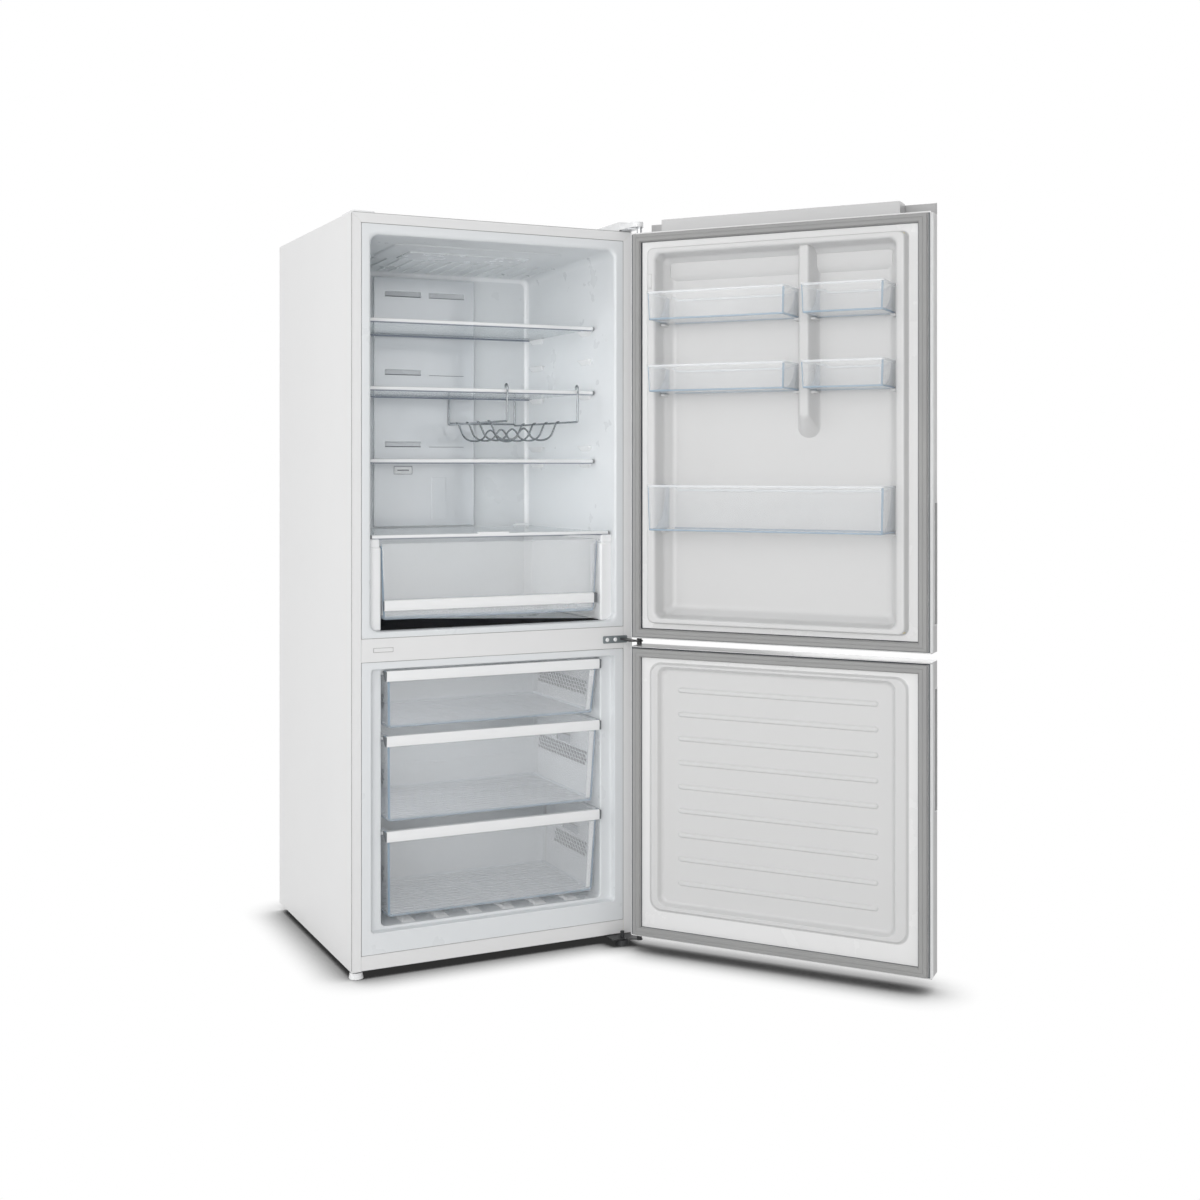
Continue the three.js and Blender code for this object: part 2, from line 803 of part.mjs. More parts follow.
function cabinetFoam() {
  const { depth, top, sheet, underside } = cabinet;
  const bead = 1.2;
  const y1 = depth - 2 * sheet - 3 * seatGap - bead;
  const reach = insideHalfWidth - seatGap;
  const y0 = lip.face + linerWall + seatGap;
  const z0 = underside + machineRoom.plate + seatGap;
  const whole = block(-reach, reach, y0, y1, z0, top - sheet - seatGap);
  const front = depth - machineRoom.depth - machineRoom.plate - seatGap;
  const roof = machineRoom.height + seatGap;
  const roomCut = prism(
    [
      [front, 0],
      [front, underside],
      [front + machineRoom.slope, roof],
      [depth + 10, roof],
      [depth + 10, 0],
    ],
    'x',
    -halfWidth,
    halfWidth,
  );
  const footPocket = bar('z', foot.leftX, foot.leftY, foot.stemRadius + 3, 0, foot.stemTop + 3, 12);
  const by = linerWall + seatGap;
  return cut(whole, roomCut, footPocket, fridgeSpace(by, lip.face), freezerSpace(by, lip.face));
}

// ---------------------------------------------------------------------------------------------
// Inside the fridge compartment
// ---------------------------------------------------------------------------------------------

// The air duct cover on the back wall: a shallow tray with rows of slots, its open side at the back.
function ductCover() {
  const { halfWidth: reach, bottom, top, depth, wall } = duct;
  const y1 = fridge.back - seatGap;
  const y0 = y1 - depth;
  const section = { x0: -reach, x1: reach, z0: bottom, z1: top, radius: 8 };
  const outer = loftInDepth([
    { ...grow([section], -3)[0], y: y0 },
    { ...section, y: y0 + 3 },
    { ...section, y: y1 },
  ]);
  const inner = grow([section], -wall)[0];
  const hollow = loftInDepth([
    { ...grow([inner], -3)[0], y: y0 + wall },
    { ...inner, y: y0 + wall + 3 },
    { ...inner, y: y1 + 1 },
  ]);
  const slots = [];
  for (const z of duct.slotLevels) {
    for (const side of [-1, 1]) {
      const x0 = side > 0 ? slot.inner : -slot.outer;
      const x1 = side > 0 ? slot.outer : -slot.inner;
      const shape = polygon(roundedRectangle(x0, x1, z - slot.height / 2, z + slot.height / 2, 3, 2));
      slots.push(extrude(shape, 'y', y0 - 1, y0 + wall + 1));
    }
  }
  const plateFoot = bottom + plate.share * (top - bottom);
  const plateTop = plateFoot + plate.height;
  const tag = roundedRectangle(plate.left, plate.left + plate.width, plateFoot, plateTop, 2, 2);
  return join(cut(outer, hollow, ...slots), extrude(polygon(tag), 'y', y0 - 1.2, y0 + 1));
}

function lampCover() {
  const { halfWidth: reach, front, back, thickness } = lamp;
  const under = (y) => fridgeCeiling(y) - seatGap;
  const outline = [
    [front, under(front)],
    [front + 6, under(front) - thickness],
    [back - 6, under(back) - thickness],
    [back, under(back)],
  ];
  return prism(outline.reverse(), 'x', -reach, reach);
}

function shelfGlass(level, x1 = shelf.halfWidth, y0 = shelf.front + 6, y1 = shelf.back) {
  return extrude(polygon(roundedRectangle(-x1, x1, y0, y1, 6, 2)), 'z', level, level + shelf.glass);
}

// The front trim: a rounded strip with a slot that the glass stands in.
function shelfTrim(level, front, depth, height, reach) {
  const middle = level + shelf.glass / 2;
  const half = height / 2;
  const profile = roundedRectangle(front, front + depth, middle - half, middle + half, 4.5, 3);
  const slotFoot = level - seatGap;
  const slotTop = level + shelf.glass + seatGap;
  const slotCut = block(-reach - 1, reach + 1, front + 6 - seatGap, front + depth + 1, slotFoot, slotTop);
  return cut(extrude(polygon(profile), 'x', -reach, reach), slotCut);
}

// The trim's ends close its slot, so the glass is shorter than the trim.
function closedTrim(level, front, depth, height, reach) {
  const strip = shelfTrim(level, front, depth, height, reach);
  const middle = level + shelf.glass / 2;
  const inner = shelf.halfWidth + seatGap * 2;
  const half = height / 2 - 2;
  const end = (x0, x1) => block(x0, x1, front + 5, front + depth - 2, middle - half, middle + half);
  return join(strip, end(inner, reach), end(-reach, -inner));
}

function crisperCoverGlass() {
  const front = crisper.coverFront + 8;
  return shelfGlass(crisper.coverLevel, (cheek.halfWidth + shelf.halfWidth) / 2, front, shelf.back - 4);
}

function crisperCoverTrim() {
  const front = crisper.coverFront;
  const { coverLevel, coverDepth, coverHeight } = crisper;
  const trim = closedTrim(coverLevel, front, coverDepth, coverHeight, shelf.trimHalfWidth);
  const tabZ = coverLevel + shelf.glass / 2 + coverHeight / 2 - 1;
  const tab = extrude(polygon(roundedRectangle(-42, 42, front + 1, front + 13, 3, 2)), 'z', tabZ, tabZ + 4);
  return join(trim, tab);
}

// The wire bottle rack: two side frames hooked over the shelf trim, a rear cross bar, and
// wires that dip, rise and dip again to cradle two bottles side by side.
function bottleRack() {
  const level = shelf.levels[1];
  const { front, wire } = rack;
  const right = shelf.halfWidth - rack.fromRight;
  const left = right - rack.width;
  const rail = level - rack.drop;
  const stand = seatGap + wire;
  const hookTop = level + shelf.glass / 2 + shelf.trimHeight / 2 + stand;
  const hookEnd = shelf.front + shelf.trimDepth + stand;
  const onGlass = level + shelf.glass + stand;
  const back = shelf.back + stand;
  const frame = (x) => {
    const corners = [
      [x, hookEnd, onGlass],
      [x, hookEnd, hookTop],
      [x, front, hookTop],
      [x, front, rail],
      [x, back, rail],
      [x, back, onGlass],
      [x, back - 12, onGlass],
    ];
    return wireAlong(roundedPath(corners, wire), wire, new THREE.Vector3(1, 0, 0));
  };
  const span = right - left;
  const cradle = (y) => {
    const count = 16;
    const path = [];
    for (let i = 0; i <= count; i += 1) {
      const t = i / count;
      const bowl = Math.sin(Math.PI * t) ** 0.55 * rack.dip;
      const hump = Math.exp(-(((t - 0.5) / 0.13) ** 2)) * rack.rise;
      path.push(new THREE.Vector3(left + span * t, y, rail - bowl + hump));
    }
    return wireAlong(path, wire, new THREE.Vector3(0, 1, 0));
  };
  const crossBar = bar('x', back, rail + 2 * wire, wire, left, right, 6);
  const cradles = [];
  const firstLoop = shelf.front + rack.firstLoop;
  for (let i = 0; i < rack.loops; i += 1) cradles.push(cradle(firstLoop + i * rack.loopPitch));
  return join(frame(left), frame(right), crossBar, ...cradles);
}

// ---------------------------------------------------------------------------------------------
// Drawers
// ---------------------------------------------------------------------------------------------

// An open tub with drafted walls, a leaning front and a rim along its sides and back.
function tub({ bottom, top, front, back, rimHalfWidth, bodyHalfWidth, wall, lean, draft, rim }) {
  const section = (z, t, by) => ({
    z,
    x0: -bodyHalfWidth + draft * (1 - t) - by,
    x1: bodyHalfWidth - draft * (1 - t) + by,
    y0: front + lean * (1 - t) - by,
    y1: back - draft * (1 - t) + by,
    radius: 12 + by,
  });
  const outer = loftInHeight([section(bottom, 0, 0), section(top, 1, 0)]);
  const inner = loftInHeight([section(bottom + wall, 0, -wall), section(top + 1, 1, -wall)]);
  const rimShape = roundedRectangle(-rimHalfWidth, rimHalfWidth, front + 6, back + 5, 8, 2);
  const rimSlab = extrude(polygon(rimShape), 'z', top - rim, top);
  return cut(join(outer, rimSlab), inner);
}

// The white band along a drawer front: a hooked strip with a finger gap behind it.
function frontBand(topZ, front, reach) {
  const { height, wall, depth } = band;
  const profile = [
    [front, topZ - height],
    [front + wall, topZ - height],
    [front + wall, topZ - wall],
    [front + depth, topZ - wall],
    [front + depth, topZ],
    [front + 2, topZ],
    [front, topZ - 2],
  ];
  const strip = prism(profile, 'x', -reach, reach);
  const end = (x0, x1) => block(x0, x1, front + 1, front + band.fingerGap, topZ - height, topZ - 1);
  return join(strip, end(-reach, -reach + wall), end(reach - wall, reach));
}

function freezerTub({ bottom, top, back }) {
  return tub({
    bottom,
    top: top - band.wall - seatGap,
    front: drawers.front + band.fingerGap + seatGap,
    back,
    rimHalfWidth: drawers.halfWidth,
    bodyHalfWidth: drawers.bodyHalfWidth,
    wall: drawers.wall,
    lean: drawers.lean,
    draft: drawers.draft,
    rim: drawers.rim,
  });
}

function crisperTub() {
  return tub({
    bottom: crisper.bottom,
    top: crisper.top,
    front: crisper.front + band.fingerGap + seatGap,
    back: crisper.back,
    rimHalfWidth: crisper.halfWidth,
    bodyHalfWidth: crisper.halfWidth - crisper.rim,
    wall: crisper.wall,
    lean: 0,
    draft: crisper.draft,
    rim: crisper.wall,
  });
}

// The crisper's band sits low on the front, as a rail standing off the tub on two end blocks.
function crisperBand() {
  const { front, bottom, bandAbove, halfWidth: reach, draft, rim } = crisper;
  const z0 = bottom + bandAbove;
  const z1 = z0 + band.height;
  const width = reach - rim - draft;
  const face = extrude(
    polygon(roundedRectangle(front - 2, front + band.wall, z0, z1, 1.5, 2)),
    'x',
    -width,
    width,
  );
  const shelfStrip = block(-width, width, front, front + band.fingerGap, z1 - band.wall - 1, z1 - 1);
  return join(face, shelfStrip);
}

// ---------------------------------------------------------------------------------------------
// Cold machinery and machine room
// ---------------------------------------------------------------------------------------------

// The cover in front of the evaporator, with air slots and the fan's shaft on its back.
function evaporatorCoverPanel() {
  const { y, wall } = evaporatorCover;
  const reach = freezer.halfWidth - seatGap;
  const panel = block(-reach, reach, y, y + wall, freezer.humpTop + seatGap, freezer.top - seatGap);
  const slots = [];
  const rows = [28, 88, 188, 308].map((drop) => freezer.top - drop);
  const pitch = reach / 3.85;
  for (const z of rows) {
    for (let i = -3; i <= 3; i += 1) {
      if (Math.abs(z - fan.z) > fan.radius || Math.abs(i) > 1) {
        slots.push(block((i - 0.35) * pitch, (i + 0.35) * pitch, y - 1, y + wall + 1, z - 5, z + 5));
      }
    }
  }
  const boss = bar('y', 0, fan.z, 14, y + wall - 1, fan.y - 2, 16);
  const shaft = bar('y', 0, fan.z, fan.shaftRadius, y + wall, fan.y + fan.width + 4, 12);
  return join(cut(panel, ...slots), boss, shaft);
}

function fanWheel() {
  const { radius, y, z, hub, blades, width, shaftRadius } = fan;
  let wheel = bar('y', 0, z, hub, y, y + width, 20);
  for (let i = 0; i < blades; i += 1) {
    const blade = new THREE.BoxGeometry(26, 2, radius - hub + 4);
    blade.rotateZ(0.5);
    blade.translate(0, 0, (radius + hub - 4) / 2);
    blade.rotateY((2 * Math.PI * i) / blades);
    blade.translate(0, y + width / 2, z);
    wheel = wheel.add(solidOf(blade));
  }
  return cut(wheel, bar('y', 0, z, shaftRadius + seatGap, y - 1, y + width + 1, 12));
}

// The evaporator: tubes through a row of upright fins, drawn as a comb on a common core.
function evaporatorCoil() {
  const { halfWidth: reach, front, back, bottom, height, fins, fin } = coil;
  const top = bottom + height;
  const middle = (front + back) / 2;
  const core = block(-reach, reach, middle - 5, middle + 5, bottom + 12, top - 12);
  const pitch = (2 * reach - 2 * fin) / (fins - 1);
  const comb = [];
  for (let i = 0; i < fins; i += 1) {
    const x = -reach + fin + i * pitch;
    comb.push(block(x - fin / 2, x + fin / 2, front, back, bottom, top));
  }
  const stands = [-reach + 20, reach - 20].map((x) =>
    block(x - 8, x + 8, middle - 5, freezer.back - seatGap, bottom + 20, bottom + 60),
  );
  return join(core, ...comb, ...stands);
}

function compressorBody() {
  const { x, y, radius, height, foot: stand } = compressor;
  const floorZ = cabinet.underside + machineRoom.plate + seatGap;
  const outline = [
    [0, 0],
    [radius * 0.72, 0],
    [radius * 0.97, height * 0.2],
    [radius, height * 0.42],
    [radius, height * 0.5],
    [radius * 0.97, height * 0.72],
    [radius * 0.75, height * 0.93],
    [radius * 0.4, height],
    [0, height],
  ];
  const dome = new THREE.LatheGeometry(outline.map(([r, h]) => new THREE.Vector2(r, h)), 20);
  dome.rotateX(Math.PI / 2);
  dome.translate(x, y, floorZ + stand + 3);
  const plate = block(x - 95, x + 95, y - 60, y + 60, floorZ + stand, floorZ + stand + 5);
  const mounts = [];
  for (const dx of [-80, 80]) {
    for (const dy of [-48, 48]) mounts.push(bar('z', x + dx, y + dy, 9, floorZ, floorZ + stand + 1, 12));
  }
  const terminalBox = block(x - radius - 18, x - radius + 12, y - 26, y + 26, floorZ + 55, floorZ + 115);
  return join(solidOf(dome), plate, terminalBox, ...mounts);
}

// The rear cover of the machine room, with upright vent slots and a gland for the mains lead.
function machineCover() {
  const y1 = cabinet.depth - cabinet.sheet - seatGap;
  const y0 = y1 - machineRoom.coverWall;
  const z0 = cabinet.underside + 4;
  const z1 = machineRoom.height + 6;
  const panel = block(-insideHalfWidth, insideHalfWidth, y0, y1, z0, z1);
  const slots = [];
  const count = 9;
  const pitch = insideHalfWidth / (count + 2);
  const glandSlot = -8;
  for (let i = -count; i <= count; i += 1) {
    if (i !== glandSlot) slots.push(block(i * pitch - 6, i * pitch + 6, y0 - 1, y1 + 1, z0 + 90, z1 - 45));
  }
  const glandX = glandSlot * pitch;
  const glandZ = (z0 + z1) / 2;
  const gland = bar('y', glandX, glandZ, 11, y0 - 8, y1 + 8, 16);
  const bore = bar('y', glandX, glandZ, 5, y0 - 9, y1 + 9, 12);
  return cut(join(panel, gland), ...slots, bore);
}

function levellingFoot(x, y) {
  const section = (z, half, radius) => ({ z, x0: x - half, x1: x + half, y0: y - half, y1: y + half, radius });
  const disc = loftInHeight([section(0, foot.radius, 15), section(foot.height, foot.radius - 2, 14)]);
  return join(disc, bar('z', x, y, foot.stemRadius, foot.height - 1, foot.stemTop, 12));
}

// A rear roller on its fixed axle. A flat of its rim faces down, so it stands still on the floor.
function rearRoller(side) {
  const { radius, width, sides, axle } = roller;
  const corner = radius / Math.cos(Math.PI / sides);
  const x0 = side * roller.x - width / 2;
  const tyre = bar('x', roller.y, radius, corner, x0, x0 + width, sides, Math.PI / sides);
  return cut(tyre, bar('x', roller.y, radius, axle + seatGap, x0 - 1, x0 + width + 1, 12));
}

// ---------------------------------------------------------------------------------------------
// Hinges
// ---------------------------------------------------------------------------------------------

// A flat arm that ends round about the hinge line.
function hingeArm(xInner, yRoot, z0, z1, endRadius) {
  const { x, y } = hingeAxis;
  const points = [
    [xInner, yRoot],
    [xInner, y + 18],
  ];
  const steps = 8;
  for (let i = 0; i <= steps; i += 1) {
    const angle = Math.PI + (Math.PI * i) / steps;
    points.push([x + endRadius * Math.cos(angle), y + endRadius * Math.sin(angle)]);
  }
  points.push([x + endRadius, y + 10], [halfWidth - 3, y + 22], [halfWidth - 3, yRoot]);
  return prism(points, 'z', z0, z1);
}

function hingePin(z0, z1) {
  return bar('z', hingeAxis.x, hingeAxis.y, hinge.pinRadius, z0, z1, 16);
}

function hingeCollar(z0, z1) {
  return bar('z', hingeAxis.x, hingeAxis.y, hinge.collarRadius, z0, z1, 16);
}

function hingeBore(z0, z1) {
  return bar('z', hingeAxis.x, hingeAxis.y, hinge.pinRadius + hinge.pinClearance, z0, z1, 16);
}

function topHinge() {
  const z0 = cabinet.top + seatGap;
  const z1 = z0 + hinge.plate;
  const right = halfWidth - 3;
  const plateSolid = block(right - hinge.plateWidth, right, 10, 78, z0, z1);
  const arm = hingeArm(right - hinge.armWidth, 12, z0, z1, hinge.armRadius);
  const pinFoot = upperDoor.top - hinge.boreDepth + 2;
  return join(plateSolid, arm, hingePin(pinFoot, z0 + 1), hingeCollar(upperDoor.top + seatGap, z0 + 1));
}

// The cover over the top hinge: a wedge over the plate and a rounded tongue over the arm.
function hingeCover() {
  const z0 = cabinet.top + seatGap;
  const armTop = z0 + hinge.plate + seatGap;
  const roof = cabinet.top + hinge.coverHeight;
  const wall = 2;
  const right = halfWidth - 1;
  const left = right - hinge.coverWidth;
  const ridge = right - 34;
  const hollowRight = halfWidth - 3 + seatGap;
  const hollowLeft = halfWidth - 3 - hinge.plateWidth - wall;
  const outerWedge = [
    [left, z0],
    [right, z0],
    [right, roof - 3],
    [right - 3, roof],
    [ridge, roof],
    [left, z0 + wall],
  ];
  const innerWedge = [
    [hollowLeft, z0 - 1],
    [hollowRight, z0 - 1],
    [hollowRight, roof - wall],
    [ridge + 1, roof - wall],
    [hollowLeft, armTop + wall],
  ];
  const shell = cut(prism(outerWedge, 'y', 2, 86), prism(innerWedge, 'y', 9.5, 84));
  const { x, y } = hingeAxis;
  const tongueLeft = halfWidth - 3 - hinge.armWidth - 2;
  const tongueShape = new THREE.Shape();
  tongueShape.moveTo(tongueLeft, 6);
  tongueShape.lineTo(tongueLeft + 2, y + 14);
  tongueShape.absarc(x - 7, y, 17, Math.PI, 2 * Math.PI, false);
  tongueShape.lineTo(right, y + 24);
  tongueShape.lineTo(right, 6);
  tongueShape.closePath();
  const tongue = extrude(tongueShape, 'z', armTop, roof - 8, 8);
  const mouth = block(tongueLeft - 2, halfWidth - 2, -1, 10, z0 - 1, armTop);
  return cut(join(shell, tongue), mouth);
}

function middleHinge() {
  const gapMiddle = (lowerDoor.top + upperDoor.bottom) / 2;
  const z0 = gapMiddle - 2.3;
  const z1 = z0 + hinge.plate + 1;
  const wallBack = -seatGap;
  const right = halfWidth - 14;
  const outline = roundedRectangle(right - hinge.plateWidth, right, gapMiddle - 9.5, gapMiddle + 9, 3, 2);
  const wallPlate = extrude(polygon(outline), 'y', wallBack - 2.6, wallBack);
  const arm = hingeArm(right - 21, wallBack - 0.5, z0, z1, hinge.armRadius);
  const pin = hingePin(lowerDoor.top - hinge.boreDepth + 2, upperDoor.bottom + hinge.boreDepth - 2);
  const collar = hingeCollar(lowerDoor.top + seatGap, upperDoor.bottom - seatGap);
  return join(wallPlate, arm, pin, collar);
}

function bottomHinge() {
  const z1 = cabinet.underside - seatGap;
  const z0 = z1 - hinge.plate;
  const right = halfWidth - 3;
  const plateSolid = block(right - hinge.plateWidth - 2, right, foot.rightY - 16, 70, z0, z1);
  const arm = hingeArm(right - 42, -20, z0, z1, hinge.armRadius);
  const pin = hingePin(z0 + 1, lowerDoor.bottom + hinge.boreDepth - 2);
  const collar = hingeCollar(z0 + 1, lowerDoor.bottom - seatGap);
  const hole = bar('z', foot.rightX, foot.rightY, foot.stemRadius + seatGap, z0 - 1, z1 + 1, 12);
  return join(cut(join(plateSolid, arm), hole), pin, collar);
}

function cornerCap() {
  const z0 = cabinet.top + seatGap;
  return loftInHeight([
    { z: z0, x0: -halfWidth + 1, x1: -halfWidth + 60, y0: 1, y1: 86, radius: 5 },
    { z: z0 + 4, x0: -halfWidth + 2, x1: -halfWidth + 57, y0: 2, y1: 84, radius: 5 },
  ]);
}

// ---------------------------------------------------------------------------------------------
// Doors, drawn closed
// ---------------------------------------------------------------------------------------------

// The outline of a folded door skin seen from above: a channel with rounded outer edges and a
// short return behind the inner liner.
function skinOutline() {
  const { edgeRadius: r, sheet: t, linerWall: liner } = door;
  const x = doorHalfWidth;
  const back = doorInner - liner - seatGap;
  const front = doorOuter;
  const fold = 10;
  const shape = new THREE.Shape();
  shape.moveTo(-x, back);
  shape.lineTo(-x, front + r);
  shape.absarc(-x + r, front + r, r, Math.PI, 1.5 * Math.PI, false);
  shape.lineTo(x - r, front);
  shape.absarc(x - r, front + r, r, -Math.PI / 2, 0, false);
  shape.lineTo(x, back);
  shape.lineTo(x - fold, back);
  shape.lineTo(x - fold, back - t);
  shape.lineTo(x - t, back - t);
  shape.lineTo(x - t, front + r);
  shape.absarc(x - r, front + r, r - t, 0, -Math.PI / 2, true);
  shape.lineTo(-x + r, front + t);
  shape.absarc(-x + r, front + r, r - t, -Math.PI / 2, -Math.PI, true);
  shape.lineTo(-x + t, back - t);
  shape.lineTo(-x + fold, back - t);
  shape.lineTo(-x + fold, back);
  shape.closePath();
  return shape;
}

// Where a door's pocket grip lies: in the free side face, near the gap between the doors.
function gripPlace(body) {
  const y1 = doorOuter + grip.fromFace + grip.width;
  const y0 = doorOuter + grip.fromFace;
  const z0 = body === upperDoor ? body.bottom + grip.fromEnd : body.top - grip.fromEnd - grip.length;
  return { y0, y1, z0, z1: z0 + grip.length };
}

// The pocket of the grip, grown by a margin, as a solid reaching in from the side face.
function gripPocket(body, by, outside) {
  const { y0, y1, z0, z1 } = gripPlace(body);
  const shape = polygon(roundedRectangle(y0 - by, y1 + by, z0 - by, z1 + by, 7 + by, 3));
  return extrude(shape, 'x', -doorHalfWidth - outside, -doorHalfWidth + grip.depth + by);
}

function doorSkin(body) {
  const lipTop = body === upperDoor ? body.top + door.lipAbove : body.top;
  let skin = extrude(skinOutline(), 'z', body.bottom, lipTop);
  if (body === upperDoor) {
    const behindLip = doorOuter + door.edgeRadius;
    skin = cut(
      skin,
      block(-halfWidth, halfWidth, behindLip, 0, body.top, lipTop + 1),
      block(hingeAxis.x - 22.5, halfWidth + 1, doorOuter - 1, 0, body.top, lipTop + 1),
    );
  }
  const pocket = cut(gripPocket(body, grip.wall, -door.sheet / 2), gripPocket(body, 0, 5));
  return join(cut(skin, gripPocket(body, 0, 5)), pocket);
}

function doorGasket(body) {
  const { width, sideInset, endInset, lip: lipDepth, neckInset } = gasket;
  const x = doorHalfWidth - sideInset;
  const z0 = body.bottom + endInset;
  const z1 = body.top - endInset;
  const back = doorInner + seatGap;
  const front = -2 * seatGap;
  const ring = (inset, y0, y1) =>
    cut(
      block(-x + inset, x - inset, y0, y1, z0 + inset, z1 - inset),
      block(-x + width - inset, x - width + inset, y0 - 1, y1 + 1, z0 + width - inset, z1 - width + inset),
    );
  return join(ring(0, front - lipDepth, front), ring(neckInset, back, front - lipDepth + 0.5));
}

const dykeCrest = {
  x0: -dyke.outerHalfWidth,
  x1: dyke.outerHalfWidth,
  z0: dyke.bottom,
  z1: dyke.top,
  radius: dyke.radius,
};
const recessMouth = {
  x0: -dyke.innerHalfWidth - dyke.draft,
  x1: dyke.innerHalfWidth + dyke.draft,
  z0: dyke.innerBottom - dyke.draft,
  z1: dyke.innerTop + dyke.draft,
  radius: dyke.radius,
};
const recessFloor = {
  x0: -dyke.innerHalfWidth,
  x1: dyke.innerHalfWidth,
  z0: dyke.innerBottom,
  z1: dyke.innerTop,
  radius: dyke.radius,
};

function upperRecess(by, reachOut) {
  const grown = (section, y) => ({ ...grow([section], by)[0], y });
  return loftInDepth([
    grown(recessFloor, dyke.floor - by),
    grown(recessFloor, dyke.floor + 14),
    grown(recessMouth, dyke.crest + reachOut),
  ]);
}

// The upper door's liner: a flat border, a hollow raised dyke and the deep recess for the bins.
function upperLiner() {
  const { linerWall: wall } = door;
  const x = doorHalfWidth - door.sheet / 2 - seatGap;
  const plateBack = doorInner - wall;
  const border = block(-x, x, plateBack, doorInner, upperDoor.bottom, upperDoor.top);
  const wide = grow([dykeCrest], 3)[0];
  const crestTop = dyke.crest;
  const outerDyke = loftInDepth([
    { ...wide, y: plateBack },
    { ...dykeCrest, y: crestTop - 5 },
    { ...grow([dykeCrest], -4)[0], y: crestTop },
  ]);
  const innerDyke = loftInDepth([
    { ...grow([wide], -wall)[0], y: plateBack - 1 },
    { ...grow([dykeCrest], -wall)[0], y: crestTop - 5 - wall / 2 },
    { ...grow([dykeCrest], -4 - wall)[0], y: crestTop - wall },
  ]);
  const tray = upperRecess(wall, -0.5);
  const solid = join(border, outerDyke, tray);
  const groove = cut(innerDyke, tray);
  const shell = cut(solid, upperRecess(0, 1), groove);
  const ribSection = (y, by) => ({
    y,
    x0: rib.middle - rib.halfWidth - by,
    x1: rib.middle + rib.halfWidth + by,
    z0: dyke.innerTop - rib.drop - by,
    z1: dyke.innerTop + 2,
    radius: 8,
  });
  const divider = loftInDepth([
    ribSection(dyke.floor - 1, rib.flare),
    ribSection(rib.crest - 2, 0),
    ribSection(rib.crest, -2),
  ]);
  const lugs = bins.rows.flatMap(({ x0, x1, bottom }) => binLugs(x0, x1, bottom));
  return join(shell, divider, ...lugs);
}

// Two moulded lugs that a bin's floor stands on, one on the wall at each of its ends.
function binLugs(x0, x1, bottom) {
  const z1 = bottom - seatGap;
  const atWall = (x) => Math.abs(x) > dyke.innerHalfWidth - 2 * binGap;
  const lugAt = (x, side) => {
    const outer = x + side * (atWall(x) ? lug.wallWidth : lug.width);
    const inner = x - side * lug.overlap;
    const [left, right] = side > 0 ? [inner, outer] : [outer, inner];
    return block(left, right, dyke.floor - 1, lug.front, z1 - lug.height, z1);
  };
  return [lugAt(x0, -1), lugAt(x1, 1)];
}

const lowerFrame = {
  x0: -lowerLiner.frameHalfWidth,
  x1: lowerLiner.frameHalfWidth,
  z0: lowerLiner.frameBottom,
  z1: lowerLiner.frameTop,
  radius: lowerLiner.radius,
};

// The lower door's liner: a flat border, a low rounded frame and a sunk panel with ribs across.
function freezerDoorLiner() {
  const { linerWall: wall } = door;
  const l = lowerLiner;
  const x = doorHalfWidth - door.sheet / 2 - seatGap;
  const border = block(-x, x, doorInner - wall, doorInner, lowerDoor.bottom, lowerDoor.top);
  const crest = doorInner + l.frameRise;
  const raised = loftInDepth([
    { ...lowerFrame, y: doorInner - wall },
    { ...grow([lowerFrame], -4)[0], y: crest },
  ]);
  const panel = grow([lowerFrame], -l.frameWidth)[0];
  const sunk = (by, y) =>
    loftInDepth([
      { ...grow([panel], by - 4)[0], y: doorInner - l.panelSink - by },
      { ...grow([panel], by)[0], y },
    ]);
  const underside = loftInDepth([
    { ...grow([lowerFrame], -wall)[0], y: doorInner - wall - 1 },
    { ...grow([lowerFrame], -4 - wall)[0], y: crest - wall },
  ]);
  const tray = sunk(wall, crest - 0.5);
  const shell = cut(join(border, raised, tray), sunk(0, crest + 0.5), cut(underside, tray));
  const floorY = doorInner - l.panelSink;
  const ribs = [];
  for (let i = 0; i < l.grooves; i += 1) {
    const z = l.frameTop - l.grooveMargin - i * l.groovePitch;
    const section = (y, by) => ({
      y,
      x0: -l.grooveHalfLength - 4 * by,
      x1: l.grooveHalfLength + 4 * by,
      z0: z - l.grooveHalfHeight - by,
      z1: z + l.grooveHalfHeight + by,
      radius: 3,
    });
    const ribSolid = loft(
      [section(floorY - 1, 1.5), section(floorY + l.grooveRise, -1.5)].map((s) =>
        roundedRectangle(s.x0, s.x1, s.z0, s.z1, s.radius, 1)
          .reverse()
          .map(([px, pz]) => [px, s.y, pz]),
      ),
    );
    ribs.push(ribSolid);
  }
  return join(shell, ...ribs);
}

// An end cap that closes the skin, with a boss bored for the hinge pin.
function endCap(z0, z1, bossFrom, bossTo, boreFrom, boreTo) {
  const x = doorHalfWidth - door.sheet - seatGap;
  const back = doorInner - door.linerWall - door.sheet - 2 * seatGap;
  const r = door.edgeRadius - door.sheet;
  const outline = polygon(roundedRectangle(-x, x, doorOuter + door.sheet + seatGap, back, r, 4));
  const plate = extrude(outline, 'z', z0, z1);
  const { x: hx, y: hy } = hingeAxis;
  const boss = block(hx - 12, x, hy - 10, hy + 10, bossFrom, bossTo);
  return cut(join(plate, boss), hingeBore(boreFrom, boreTo));
}

function lowCap(body) {
  const z0 = body.bottom;
  const bossTop = z0 + hinge.boreDepth + 3;
  return endCap(z0, z0 + door.capWall, z0, bossTop, z0 - 1, z0 + hinge.boreDepth);
}

function highCap(body) {
  const z1 = body.top;
  const bossFoot = z1 - hinge.boreDepth - 3;
  return endCap(z1 - door.capWall, z1, bossFoot, z1, z1 - hinge.boreDepth, z1 + 1);
}

